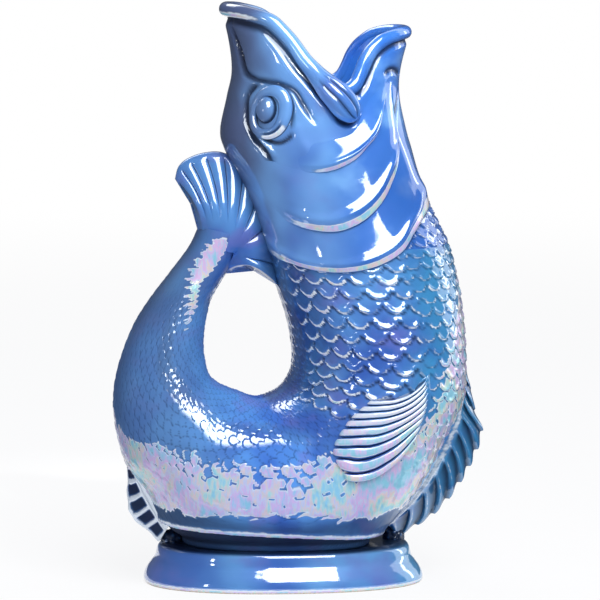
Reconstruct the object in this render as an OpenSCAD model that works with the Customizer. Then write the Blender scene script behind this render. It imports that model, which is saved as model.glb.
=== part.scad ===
// Gurgle jug: a hollow fish that stands on the bend of its body. Its open mouth is the spout,
// and its tail curls up behind to its neck as the handle. Lengths are in millimetres.
// +X points from the handle to the lower jaw, +Y to the fish's left side, +Z up.
// The jug is the same on both sides of the XZ plane. The origin lies on the surface that the
// jug stands on, under the middle of its length.

/* [Jug] */
// Height of the jug, to the tip of the upper jaw
jug_h = 235; // [190:1:280]
// Length that the fish's slices are drawn to, about the reach from tail bend to belly
body_l = 145; // [120:1:175]
// Width of the belly
body_w = 93; // [76:1:112]
// Thickness of the fired wall of head, body and tail
wall = 4.5; // [3.6:0.1:5.4]
// How far the middle of the jug's length lies from the middle of its foot
mid_x = 6.19; // [5:0.05:7.5]

/* [Foot] */
// Height of the foot, which the fish rests on
foot_h = 16; // [13:0.5:20]
// Length of the foot over its widest moulding
foot_l = 113.4; // [106:0.2:137]
// Width of the foot over its widest moulding
foot_w = 82; // [76:0.5:97]
// Length of the foot's top, under the fish
waist_l = 95; // [84:0.5:105]
// Width of the foot's top, under the fish
waist_w = 68; // [58:0.5:74]
// Width of the unglazed rim that the jug stands on
rim_w = 7; // [5.5:0.1:8.5]
// Depth of the hollow under the foot, inside the rim
recess_h = 3; // [2.4:0.1:3.6]

/* [Mouth] */
// How far the upper lip stands out from each face of the wall
upper_roll = 0.7; // [0.5:0.05:0.9]
// How far the lower lip stands out from each face of the wall
lower_roll = 0.4; // [0.3:0.05:0.5]
// Radius of the knob that ends the upper lip on each cheek
knob_r = 4.8; // [3.9:0.1:5.8]

/* [Face] */
// Radius of the eyeball
eye_r = 5; // [4:0.1:6]
// Radius of the raised ring round the eye
eye_ring_r = 1.8; // [1.4:0.1:2.2]
// How far the jaw plate stands out at its lower edge
jaw_plate_h = 2.6; // [2:0.1:3.2]
// How far the cheek plate stands out at its lower edge
cheek_plate_h = 2.2; // [1.7:0.1:2.7]
// How far the gill cover stands out at its lower edge
gill_cover_h = 1.8; // [1.4:0.1:2.2]

/* [Fins] */
// How far the pectoral fin's rays stand out from the body
pectoral_h = 2.2; // [1.7:0.1:2.7]
// Number of rays in a pectoral fin
pectoral_rays = 9; // [6:1:12]
// Reach of the belly fin beyond the belly
belly_fin_h = 16; // [12.5:0.5:19.5]
// Thickness of the belly fin at its root
belly_fin_w = 18; // [14:0.5:22]
// Number of rays in the belly fin
belly_fin_rays = 9; // [6:1:12]
// Reach of the anal fin beyond the tail bend
anal_fin_h = 10.6; // [8.5:0.1:12.8]
// Thickness of the anal fin at its root
anal_fin_w = 18; // [14:0.5:22]
// Number of rays in the anal fin
anal_fin_rays = 6; // [4:1:8]
// Thickness of the tail fin at its root
tail_fin_w = 25; // [20:0.5:30]
// Number of rays in the tail fin
tail_fin_rays = 9; // [6:1:12]
// Height of a ray above the furrow beside it, on every fin
ray_h = 0.9; // [0.7:0.05:1.1]

/* [Hidden] */

// Height of the fish above its foot
fish_h = jug_h - foot_h;
// How deep a raised piece's blank reaches under the skin, where the shell then cuts it
sink = wall / 2;

// Slices from the open mouth to the tail's stem: the back's and the belly's place along
// body_l and up fish_h, the depth as a share of body_w, the squareness, and how much
// wider the belly side is than the back side.
fish_shares = [
    [-0.187, 1.015, 0.400, 1.015, 0.54, 2.00, 0.00],
    [-0.155, 0.940, 0.355, 0.940, 0.58, 2.00, 0.00],
    [-0.143, 0.875, 0.328, 0.875, 0.62, 2.00, 0.00],
    [-0.157, 0.825, 0.325, 0.825, 0.66, 2.00, 0.00],
    [-0.175, 0.765, 0.343, 0.765, 0.70, 2.10, 0.00],
    [-0.165, 0.730, 0.358, 0.730, 0.73, 2.10, 0.00],
    [-0.128, 0.680, 0.380, 0.680, 0.75, 2.10, 0.00],
    [-0.090, 0.620, 0.417, 0.620, 0.78, 2.10, 0.00],
    [-0.058, 0.555, 0.464, 0.555, 0.82, 2.10, 0.02],
    [-0.028, 0.485, 0.492, 0.485, 0.87, 2.15, 0.03],
    [0.008, 0.410, 0.508, 0.410, 0.93, 2.20, 0.04],
    [0.023, 0.352, 0.514, 0.330, 0.97, 2.20, 0.05],
    [0.019, 0.317, 0.504, 0.260, 1.00, 2.25, 0.05],
    [0.003, 0.295, 0.455, 0.195, 1.00, 2.30, 0.06],
    [-0.021, 0.280, 0.403, 0.130, 1.00, 2.40, 0.08],
    [-0.048, 0.272, 0.324, 0.055, 0.99, 2.50, 0.10],
    [-0.070, 0.269, 0.207, -0.010, 0.97, 2.50, 0.10],
    [-0.093, 0.272, 0.000, -0.027, 0.94, 2.50, 0.10],
    [-0.120, 0.280, -0.193, -0.018, 0.89, 2.40, 0.10],
    [-0.152, 0.288, -0.325, 0.018, 0.82, 2.30, 0.08],
    [-0.184, 0.299, -0.389, 0.094, 0.74, 2.25, 0.06],
    [-0.207, 0.315, -0.448, 0.151, 0.66, 2.20, 0.04],
    [-0.218, 0.345, -0.476, 0.228, 0.58, 2.15, 0.02],
    [-0.221, 0.374, -0.476, 0.292, 0.515, 2.10, 0.00],
    [-0.215, 0.410, -0.452, 0.355, 0.46, 2.10, 0.00],
    [-0.201, 0.448, -0.414, 0.415, 0.40, 2.10, 0.00],
    [-0.172, 0.482, -0.363, 0.466, 0.36, 2.10, 0.00],
    [-0.145, 0.509, -0.314, 0.509, 0.32, 2.10, 0.00],
    [-0.128, 0.539, -0.262, 0.555, 0.30, 2.10, 0.00],
    [-0.117, 0.571, -0.234, 0.589, 0.28, 2.10, 0.00]
];
// Slices where the head ends, where the tail begins, and where its hollow and its stem end
neck_slice = 8;
tail_slice = 16;
hollow_end_slice = 28;
stem_slice = 29;
// A slice that leans down less steeply than this isn't flattened on the foot
least_lean_share = 0.2;

// The mouth's edge: angle round the fish from the lower jaw, and slice
gape_shares = [
    [0, 0.96], [12, 0.96], [24, 0.97], [34, 1.00], [42, 1.06], [48, 1.15], [55, 1.38],
    [59, 1.65], [61.5, 2.00], [65, 2.38], [71, 2.60], [80, 2.50], [91, 2.18],
    [104, 1.60], [112.5, 1.13], [120, 0.82], [128, 0.62], [137, 0.54], [146, 0.49],
    [155, 0.46], [163, 0.45], [172, 0.44], [180, 0.44]
];
// The upper lip from the snout to its knob: angle, slice, share of the way from lip to
// knob, and share of the full radius
upper_lip_shares = [
    [180, 0.44, 0, 1], [163, 0.45, 0, 1], [146, 0.49, 0, 1], [128, 0.62, 0, 1],
    [120, 0.82, 0, 1], [112.5, 1.13, 0, 1], [104, 1.60, 0.1, 1], [97, 1.92, 0.25, 1],
    [91, 2.22, 0.5, 1], [85, 2.55, 0.85, 1], [80, 2.83, 1, 1], [76, 3.10, 1, 1],
    [73, 3.32, 1, 0.85], [71, 3.48, 1, 0.55], [70, 3.55, 1, 0.2]
];
// The lower lip from the chin to the corner of the mouth, in the same way
lower_lip_shares = [
    [0, 0.96, 0, 1], [12, 0.96, 0, 1], [24, 0.97, 0, 1], [34, 1.00, 0, 1],
    [42, 1.06, 0, 1], [48, 1.15, 0, 1], [55, 1.38, 0, 1], [59, 1.65, 0, 1],
    [61.5, 2.00, 0, 1], [65, 2.38, 0, 1], [71, 2.60, 0, 1], [77, 2.55, 0, 0.95],
    [82, 2.47, 0, 0.9]
];
// The plates of the face: angle, slice of the upper edge and slice of the lower edge
jaw_plate_shares = [
    [36, 2.30, 2.85], [46, 2.60, 3.48], [58, 3.10, 4.30], [71, 3.90, 5.10],
    [85, 4.20, 5.53], [97, 4.40, 5.70], [110, 4.60, 5.65]
];
cheek_plate_shares = [
    [30, 2.30, 4.30], [40, 3.00, 5.30], [55, 4.00, 6.12], [70, 4.95, 6.75],
    [88, 5.45, 7.28], [103, 5.60, 7.50], [119, 5.40, 7.45], [132, 5.30, 7.28],
    [141, 5.60, 6.95]
];
gill_cover_shares = [
    [8, 4.10, 6.70], [30, 4.20, 7.05], [40, 5.20, 7.23], [55, 6.02, 7.60],
    [70, 6.65, 8.10], [88, 7.18, 8.45], [103, 7.40, 8.58], [119, 7.35, 8.58],
    [132, 7.18, 8.50], [141, 6.85, 8.42], [152, 6.30, 8.35], [165, 6.00, 8.20],
    [174, 5.90, 7.90]
];
// Shares of the way down a plate at which it is drawn, and its height there
plate_shares = [
    [0, 0.3], [0.2, 0.44], [0.4, 0.58], [0.6, 0.72], [0.8, 0.86], [0.94, 1], [1, 0.6]
];
plate_step = 6;
// The eye: angle and slice of its middle, and half its ring's size in both
eye_place_shares = [125, 3.28];
eye_ring_size_shares = [15, 0.80];
eye_sink_share = 0.3;

// The pectoral fin: angle and slice of the ends of its root and of its rays' tips, from
// the topmost ray down, with the point that bends each ray
pectoral_root_shares = [[67, 11.1], [66, 11.5], [64, 12.1], [63, 12.8]];
pectoral_bend_shares = [[84, 12.1], [83, 12.7], [80, 13.6], [68, 14.6]];
pectoral_tip_shares = [[99, 12.2], [104, 13.3], [100, 14.7], [86, 15.3]];
// Shares of a ray's length at which it is drawn, and its height there
ray_shares = [[0, 0.15], [0.12, 0.7], [0.4, 1], [0.75, 0.95], [0.94, 0.8], [1, 0.4]];

// The edges of the fins under the belly and behind the tail bend: slice, and share of the
// fin's reach beyond the skin
belly_fin_shares = [
    [11, 0], [11.45, 0.09], [12.17, 0.41], [12.59, 0.82], [12.81, 0.94], [13.28, 1],
    [13.8, 0.99], [14.26, 0.95], [14.74, 0.81], [15.05, 0.64], [15.35, 0.5]
];
anal_fin_shares = [
    [19.1, 0.55], [19.4, 0.63], [19.8, 0.98], [20.05, 1], [20.2, 0.8], [20.4, 0.56],
    [20.53, 0.3], [20.8, 0]
];
// Shares of a fin's reach at which it is drawn, and of its root's half thickness there
fin_web_shares = [[0, 1], [0.25, 0.62], [0.5, 0.42], [0.8, 0.27], [1, 0.12]];
// How far a fin's edge draws in between two rays
scallop_share = 0.1;
// Steps that a ray is drawn in
ray_steps = 4;

// The tail fin's rays, from its free edge round to the neck: root, bend and tip, each by
// its place along body_l and up fish_h, and the tip's thickness as a share of the root's
tail_fin_shares = [
    [-0.228, 0.552, -0.228, 0.630, -0.302, 0.674, 0.30],
    [-0.214, 0.552, -0.214, 0.640, -0.292, 0.697, 0.34],
    [-0.200, 0.550, -0.195, 0.640, -0.265, 0.712, 0.40],
    [-0.186, 0.548, -0.172, 0.640, -0.220, 0.722, 0.48],
    [-0.172, 0.546, -0.152, 0.630, -0.168, 0.722, 0.60],
    [-0.158, 0.543, -0.130, 0.610, -0.112, 0.700, 0.75],
    [-0.146, 0.538, -0.108, 0.590, -0.070, 0.650, 0.85],
    [-0.138, 0.530, -0.095, 0.565, -0.038, 0.590, 0.85],
    [-0.134, 0.520, -0.090, 0.530, -0.020, 0.515, 0.80]
];

// The foot's moulding: share of foot_h, and share of the way out from waist to widest
foot_shares = [
    [0, 0.88], [0.05, 0.97], [0.1, 1], [0.18, 0.98], [0.28, 0.88], [0.4, 0.68],
    [0.5, 0.4], [0.56, 0.26], [0.62, 0.22], [0.68, 0.3], [0.76, 0.34], [0.86, 0.26],
    [0.95, 0.1], [1, 0]
];
foot_squareness = 2.3;

// How finely things are drawn: points round the foot, a tube, an eyeball and an eye ring,
// rows of the head's skin and hollow, and points along a tail ray
foot_points = 56;
tube_sides = 8;
eye_sides = 24;
eye_ring_steps = 24;
head_rows = 16;
head_hollow_rows = 8;
tail_ray_points = 8;
// Slices from row to row of the body's and the tail's skin, and of their hollow
skin_step = 0.5;
hollow_step = 1;
// How far to each side the skin is probed to find the way it faces, in slices and degrees
probe_slices = 0.1;
probe_angle = 2;
// How much thinner the tail fin's edge is than the fin just inside it
tail_edge_share = 0.37;

GLAZE = "cornflowerblue";
DEEP_GLAZE = "royalblue";
PALE_GLAZE = "lightsteelblue";

// A smooth curve from b to c, with a before it and d after it
function curve(a, b, c, d, f) =
    (2 * b + (c - a) * f + (2 * a - 5 * b + 4 * c - d) * f ^ 2
        + (3 * b - a - 3 * c + d) * f ^ 3) / 2;

// A row of a table of shares, read smoothly at any place
function row_at(table, place) =
    let (last = len(table) - 1, i = max(0, min(floor(place), last - 1)))
    curve(table[max(i - 1, 0)], table[i], table[i + 1], table[min(i + 2, last)], place - i);

// One column of a table, looked up by its first
function column(table, key, index) = lookup(key, [for (r = table) [r[0], r[index]]]);

// A point in the fish's middle plane, from its shares
function plane_point(x_share, z_share) =
    [x_share * body_l - mid_x, 0, foot_h + z_share * fish_h];

// Distance round a section of the given squareness: 1 at the axis
function squared(value, squareness) = sign(value) * abs(value) ^ (2 / squareness);

// A point of the fish's skin: slice along the fish, angle round it from the belly through
// the left side to the back, and height above the skin. Under the fish it is flattened on
// the foot.
function skin(slice, angle, above = 0) =
    let (
        s = row_at(fish_shares, slice),
        back = plane_point(s[0], s[1]),
        belly = plane_point(s[2], s[3]),
        reach = norm(belly - back),
        lean = (belly - back) / reach,
        along = squared(cos(angle), s[5]),
        aside = squared(sin(angle), s[5]),
        p = (back + belly) / 2 + (reach / 2 + above) * along * lean,
        lowest = foot_h + max(0, -above),
        slide = p.z < lowest && lean.z < -least_lean_share ? (lowest - p.z) / lean.z : 0
    )
    p + slide * lean + [0, (s[4] * body_w / 2 + above) * aside * (1 + s[6] * along), 0];

// The direction that faces out of the skin
function skin_normal(slice, angle) =
    let (
        down = skin(slice + probe_slices, angle) - skin(slice - probe_slices, angle),
        around = skin(slice, angle + probe_angle) - skin(slice, angle - probe_angle),
        n = cross(down, around)
    )
    n / norm(n);

// Angles at which the fish is drawn, all the way round
half_round = [for (g = gape_shares) g[0]];
round_angles = concat(half_round, [for (i = [len(half_round) - 2:-1:1]) 360 - half_round[i]]);

function gape(angle) = lookup(min(angle, 360 - angle), gape_shares);
function body_ring(slice, above) = [for (a = round_angles) skin(slice, a, above)];
function head_ring(share, above) =
    [for (a = round_angles) skin(gape(a) + (neck_slice - gape(a)) * share, a, above)];

// A closed skin through rings of equally many points. An open one has a cap on each end,
// and a looped one joins its last ring to its first.
module loft(rings, looped = false) {
    n = len(rings[0]);
    m = len(rings);
    last = (m - 1) * n;
    sides = [
        for (i = [0:looped ? m - 1 : m - 2], j = [0:n - 1])
            let (a = i * n, b = (i + 1) % m * n, k = (j + 1) % n)
            each [[a + j, b + j, b + k], [a + j, b + k, a + k]]
    ];
    caps = looped ? [] : [
        for (j = [0:n / 2 - 2], k = [n - 1 - j])
            each [
                [j, j + 1, k], [j + 1, k - 1, k],
                [last + j, last + k, last + j + 1], [last + j + 1, last + k, last + k - 1]
            ]
    ];
    polyhedron([for (r = rings) each r], concat(sides, caps));
}

// Gives back what its children make as one mesh
module sculpted() {
    resize([0, 0, 0]) children();
}

module left_and_right(side) {
    mirror([0, side == "right" ? 1 : 0, 0]) children();
}

// A round tube along points of the skin. Each stop is angle, slice, height and radius.
module tube(stops, looped = false) {
    n = len(stops);
    points = [for (s = stops) skin(s[1], s[0], s[2])];
    loft([
        for (i = [0:n - 1])
            let (
                before = points[looped ? (i + n - 1) % n : max(i - 1, 0)],
                after = points[looped ? (i + 1) % n : min(i + 1, n - 1)],
                way = (after - before) / norm(after - before),
                up = skin_normal(stops[i][1], stops[i][0]),
                side = cross(way, up) / norm(cross(way, up))
            )
            [
                for (j = [0:tube_sides - 1])
                    let (a = (j + 0.5) * 360 / tube_sides)
                    points[i] + stops[i][3] * (cos(a) * up + sin(a) * side)
            ]
    ], looped);
}

// The whole head, body or tail without its hollow, which cuts what lies on it
module head_core() {
    loft([for (i = [head_rows:-1:0]) head_ring(i / head_rows, 0)]);
}

module body_core() {
    loft([for (u = [tail_slice:-skin_step:neck_slice]) body_ring(u, 0)]);
}

module tail_core() {
    loft([for (u = [stem_slice:-skin_step:tail_slice]) body_ring(u, 0)]);
}

module foot() {
    function oval(half_l, half_w, z) = [
        for (i = [0:foot_points - 1])
            let (a = i * 360 / foot_points)
            [
                half_l * squared(cos(a), foot_squareness) - mid_x,
                half_w * squared(sin(a), foot_squareness),
                z
            ]
    ];
    function moulding(s, in, z) = oval(
        (waist_l + (foot_l - waist_l) * s) / 2 - in, (waist_w + (foot_w - waist_w) * s) / 2 - in, z);
    base_share = foot_shares[0][1];
    color(DEEP_GLAZE) loft(concat(
        [moulding(base_share, rim_w + recess_h / 2, recess_h), moulding(base_share, rim_w, 0)],
        [for (s = foot_shares) moulding(s[1], 0, s[0] * foot_h)]
    ));
}

module body_shell() {
    color(GLAZE) loft(concat(
        [for (u = [tail_slice:-skin_step:neck_slice]) body_ring(u, 0)],
        [for (u = [neck_slice:hollow_step:tail_slice]) body_ring(u, -wall)]
    ), looped = true);
}

module tail_shell() {
    color(DEEP_GLAZE) loft(concat(
        [for (u = [stem_slice:-skin_step:tail_slice]) body_ring(u, 0)],
        [for (u = [tail_slice:hollow_step:hollow_end_slice]) body_ring(u, -wall)]
    ));
}

module head_shell() {
    color(GLAZE) loft(concat(
        [for (i = [head_rows:-1:0]) head_ring(i / head_rows, 0)],
        [for (i = [0:head_hollow_rows]) head_ring(i / head_hollow_rows, -wall)]
    ), looped = true);
}

// Stops of a lip, from its middle to its end on the left, from its table of shares
function lip_stops(table, roll) = [
    for (s = table)
        let (r = wall / 2 + roll)
        [
            s[0], s[1],
            -wall / 2 + (knob_r - wall / 4) * s[2],
            (r + (knob_r - r) * s[2]) * s[3]
        ]
];

// The same stops on both sides, as one run from right to left
function both_sides(stops) = concat(
    [for (i = [len(stops) - 1:-1:1]) [360 - stops[i][0], stops[i][1], stops[i][2], stops[i][3]]],
    stops
);

module upper_lip_blank() {
    tube(both_sides(lip_stops(upper_lip_shares, upper_roll)));
}

module upper_lip() {
    color(PALE_GLAZE) sculpted() difference() {
        upper_lip_blank();
        head_shell();
    }
}

module lower_lip() {
    stops = lip_stops(lower_lip_shares, lower_roll);
    left_to_right = concat(
        [for (i = [len(stops) - 1:-1:1]) stops[i]],
        [for (s = stops) [-s[0], s[1], s[2], s[3]]]
    );
    color(PALE_GLAZE) sculpted() difference() {
        tube(left_to_right);
        head_shell();
        upper_lip_blank();
    }
}

module eye(side) {
    color(PALE_GLAZE) left_and_right(side) sculpted() difference() {
        translate(skin(eye_place_shares[1], eye_place_shares[0], -eye_sink_share * eye_r))
            sphere(eye_r, $fn = eye_sides);
        head_core();
    }
}

module eye_ring(side) {
    color(GLAZE) left_and_right(side) sculpted() difference() {
        tube([
            for (i = [0:eye_ring_steps - 1])
                let (a = i * 360 / eye_ring_steps)
                [
                    eye_place_shares[0] + eye_ring_size_shares[0] * cos(a),
                    eye_place_shares[1] + eye_ring_size_shares[1] * sin(a),
                    eye_ring_r / 4, eye_ring_r
                ]
        ], looped = true);
        head_core();
    }
}

// A plate that lies on the skin and stands out most at its lower edge
module plate_blank(table, height) {
    first = table[0][0];
    last = table[len(table) - 1][0];
    steps = round((last - first) / plate_step);
    loft([
        for (i = [0:steps])
            let (
                a = first + (last - first) * i / steps,
                top = column(table, a, 1),
                low = column(table, a, 2)
            )
            concat(
                [for (s = plate_shares) skin(top + (low - top) * s[0], a, s[1] * height)],
                [
                    for (j = [len(plate_shares) - 1:-1:0])
                        skin(top + (low - top) * plate_shares[j][0], a, -sink)
                ]
            )
    ]);
}

module jaw_plate(side) {
    color(GLAZE) left_and_right(side) sculpted() difference() {
        plate_blank(jaw_plate_shares, jaw_plate_h);
        head_core();
    }
}

module cheek_plate(side) {
    color(DEEP_GLAZE) left_and_right(side) sculpted() difference() {
        plate_blank(cheek_plate_shares, cheek_plate_h);
        plate_blank(jaw_plate_shares, jaw_plate_h);
        head_core();
    }
}

module gill_cover(side) {
    color(GLAZE) left_and_right(side) sculpted() difference() {
        plate_blank(gill_cover_shares, gill_cover_h);
        plate_blank(cheek_plate_shares, cheek_plate_h);
        tail_fin_blank();
        head_core();
        body_core();
    }
}

// How a fin's ray swells between its furrows: 1 on the ray and 0 in the furrow
function swell(place) = 1 - abs(cos(180 * place)) ^ 3;

module pectoral_fin(side) {
    steps = pectoral_rays * ray_steps;
    last = len(pectoral_root_shares) - 1;
    function place(table, share) = row_at(table, share * last);
    function bend(share, t) =
        place(pectoral_root_shares, share) * (1 - t) ^ 2
        + 2 * place(pectoral_bend_shares, share) * t * (1 - t)
        + place(pectoral_tip_shares, share) * t ^ 2;
    color(PALE_GLAZE) left_and_right(side) sculpted() difference() {
        loft([
            for (i = [steps:-1:0])
                let (f = i / steps, out = pectoral_h - ray_h + ray_h * swell(f * pectoral_rays))
                concat(
                    [for (r = ray_shares) let (p = bend(f, r[0])) skin(p[1], p[0], out * r[1])],
                    [
                        for (j = [len(ray_shares) - 1:-1:0])
                            let (p = bend(f, ray_shares[j][0]))
                            skin(p[1], p[0], -sink)
                    ]
                )
        ]);
        body_core();
    }
}

// A fin in the fish's middle plane, which stands on its belly line
module keel_fin(table, height, width, rays) {
    first = table[0][0];
    last = table[len(table) - 1][0];
    steps = rays * ray_steps;
    function half_section(u, swollen, side) =
        let (reach = column(table, u, 1) * height * (1 - scallop_share + scallop_share * swollen))
        [
            for (w = fin_web_shares)
                skin(u, 0, w[0] * (reach + sink) - sink)
                + [0, side * (w[1] * width / 2 + ray_h * (swollen - 1) * (1 - w[1])), 0]
        ];
    loft([
        for (i = [0:steps])
            let (
                f = i / steps,
                u = first + (last - first) * f,
                swollen = swell(f * rays),
                right = half_section(u, swollen, -1)
            )
            concat(
                half_section(u, swollen, 1),
                [for (j = [len(right) - 1:-1:0]) right[j]]
            )
    ]);
}

module belly_fin() {
    color(DEEP_GLAZE) sculpted() difference() {
        keel_fin(belly_fin_shares, belly_fin_h, belly_fin_w, belly_fin_rays);
        body_core();
    }
}

module anal_fin() {
    color(DEEP_GLAZE) sculpted() difference() {
        keel_fin(anal_fin_shares, anal_fin_h, anal_fin_w, anal_fin_rays);
        tail_core();
    }
}

module tail_fin_blank() {
    steps = tail_fin_rays * ray_steps;
    last = len(tail_fin_shares) - 1;
    function half_section(f, side) =
        let (s = row_at(tail_fin_shares, f * last), swollen = swell(f * tail_fin_rays))
        [
            for (i = [0:tail_ray_points])
                let (
                    r = i / tail_ray_points,
                    p = plane_point(s[0], s[1]) * (1 - r) ^ 2
                        + 2 * plane_point(s[2], s[3]) * r * (1 - r)
                        + plane_point(s[4], s[5]) * r ^ 2,
                    thinned = (1 - (1 - s[6]) * r) * (1 - tail_edge_share * r ^ 8),
                    thick = tail_fin_w / 2 * thinned
                )
                p + [0, side * (thick - ray_h * (1 - swollen) * r), 0]
        ];
    loft([
        for (i = [0:steps])
            let (right = half_section(i / steps, -1))
            concat(
                half_section(i / steps, 1),
                [for (j = [len(right) - 1:-1:0]) right[j]]
            )
    ]);
}

module tail_fin() {
    color(PALE_GLAZE) sculpted() difference() {
        tail_fin_blank();
        tail_core();
        head_core();
        body_core();
    }
}

foot();
body_shell();
tail_shell();
head_shell();
upper_lip();
lower_lip();
eye("right");  // right_eye
eye("left");  // left_eye
eye_ring("right");  // right_eye_ring
eye_ring("left");  // left_eye_ring
jaw_plate("right");  // right_jaw_plate
jaw_plate("left");  // left_jaw_plate
cheek_plate("right");  // right_cheek_plate
cheek_plate("left");  // left_cheek_plate
gill_cover("right");  // right_gill_cover
gill_cover("left");  // left_gill_cover
pectoral_fin("right");  // right_pectoral_fin
pectoral_fin("left");  // left_pectoral_fin
belly_fin();
anal_fin();
tail_fin();
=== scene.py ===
"""Gurgle jug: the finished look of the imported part.

The jug is a hollow fish under a blue lustre glaze. Each piece here is shaped on the same form
of the fish as the CAD solid that it stands for. Lengths are in metres, +X points from the
handle to the lower jaw, +Y to the fish's left side and +Z up. A place on the fish is a slice,
counted from the mouth to the tail, and an angle round it in degrees from the belly through
the left side to the back.
"""

import logging
import math
from collections.abc import Callable
from dataclasses import dataclass, field
from enum import Enum

import bpy
import numpy as np
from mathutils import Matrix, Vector


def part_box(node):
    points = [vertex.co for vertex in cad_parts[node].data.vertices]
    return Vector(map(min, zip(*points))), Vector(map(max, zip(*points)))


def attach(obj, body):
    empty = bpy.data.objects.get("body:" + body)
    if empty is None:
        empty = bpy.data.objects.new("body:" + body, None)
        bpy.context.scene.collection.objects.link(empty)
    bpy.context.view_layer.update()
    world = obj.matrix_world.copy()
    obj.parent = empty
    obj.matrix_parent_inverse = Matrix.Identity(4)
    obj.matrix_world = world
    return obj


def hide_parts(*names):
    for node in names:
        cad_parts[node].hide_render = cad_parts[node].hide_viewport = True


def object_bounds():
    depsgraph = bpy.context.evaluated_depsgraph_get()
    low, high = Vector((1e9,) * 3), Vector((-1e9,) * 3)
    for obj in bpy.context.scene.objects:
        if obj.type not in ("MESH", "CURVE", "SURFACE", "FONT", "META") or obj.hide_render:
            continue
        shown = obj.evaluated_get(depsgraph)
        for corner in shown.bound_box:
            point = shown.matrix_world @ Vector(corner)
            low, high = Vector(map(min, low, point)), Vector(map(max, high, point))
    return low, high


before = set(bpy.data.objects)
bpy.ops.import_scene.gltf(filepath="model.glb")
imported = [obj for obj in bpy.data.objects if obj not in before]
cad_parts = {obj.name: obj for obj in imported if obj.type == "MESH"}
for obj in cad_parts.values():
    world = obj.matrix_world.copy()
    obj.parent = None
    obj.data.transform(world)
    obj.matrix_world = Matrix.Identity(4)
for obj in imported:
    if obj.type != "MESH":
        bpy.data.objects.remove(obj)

CAD_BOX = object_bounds()
MM = 0.001
TURN = 2 * math.pi

log = logging.getLogger("gurgle_jug")

Array = np.ndarray
Piece = bpy.types.Object
Socket = bpy.types.NodeSocket


def smooth_rows(table: Array, place: Array) -> Array:
    """Read a table smoothly at places between its rows.

    Args:
        table: rows of numbers.
        place: row numbers, whole or not.

    Returns:
        One row for each place.
    """
    last = len(table) - 1
    place = np.clip(np.asarray(place, float), 0, last)
    i = np.clip(np.floor(place).astype(int), 0, last - 1)
    f = (place - i)[..., None]
    a, b = table[np.maximum(i - 1, 0)], table[i]
    c, d = table[i + 1], table[np.minimum(i + 2, last)]
    bend = (2 * a - 5 * b + 4 * c - d) * f**2 + (3 * b - a - 3 * c + d) * f**3
    return (2 * b + (c - a) * f + bend) / 2


def dense_rows(table: Array | tuple, count: int) -> Array:
    """Read a whole table smoothly at evenly spaced places."""
    table = np.array(table, float)
    return smooth_rows(table, np.linspace(0, len(table) - 1, count))


def look_up(table: Array, angles: Array, column: int, count: int = 300) -> Array:
    """Look up one column of a table smoothly by its first."""
    dense = dense_rows(table, count)
    return np.interp(angles, dense[:, 0], dense[:, column])


def rise(value: Array, start: float, end: float) -> Array:
    """Go smoothly from 0 at start to 1 at end, which may lie on either side of start."""
    t = np.clip((np.asarray(value, float) - start) / (end - start), 0, 1)
    return t * t * (3 - 2 * t)


def hump(value: Array, middle: float, width: float) -> Array:
    """Go smoothly up to 1 at the middle and back to 0."""
    return np.exp(-(((value - middle) / width) ** 2))


def lengths(vectors: Array) -> Array:
    """Give the length of each vector, with the last axis kept."""
    return np.linalg.norm(vectors, axis=-1, keepdims=True)


def unit(vectors: Array) -> Array:
    """Scale each vector to a length of 1."""
    return vectors / np.maximum(lengths(vectors), 1e-12)


def squared(value: Array, squareness: Array) -> Array:
    """Give the distance out from an axis of a section of the given squareness."""
    return np.sign(value) * np.abs(value) ** (2 / squareness)


def half(angles: Array) -> Array:
    """Fold angles from both sides of the fish onto 0 to 180."""
    angles = np.mod(angles, 360)
    return np.minimum(angles, 360 - angles)


def over_edge(i: Array, points: int) -> tuple[Array, Array]:
    """Run out over the first half of a ring's points, and back over the rest."""
    first = i < points // 2
    return first, np.where(first, i, points - 1 - i) / (points // 2 - 1)


def across_ray(share: Array, rays: int) -> Array:
    """Give the place across a ray, from -1 to 1, at shares of the way along a fin."""
    return np.where(share < 1, np.mod(share * rays, 1) * 2 - 1, 1)


def bent(root: Array, bend: Array, tip: Array, out: Array) -> Array:
    """Follow a bent ray from its root to its tip."""
    r = out[:, None]
    return root * (1 - r) ** 2 + 2 * bend * r * (1 - r) + tip * r**2


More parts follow.
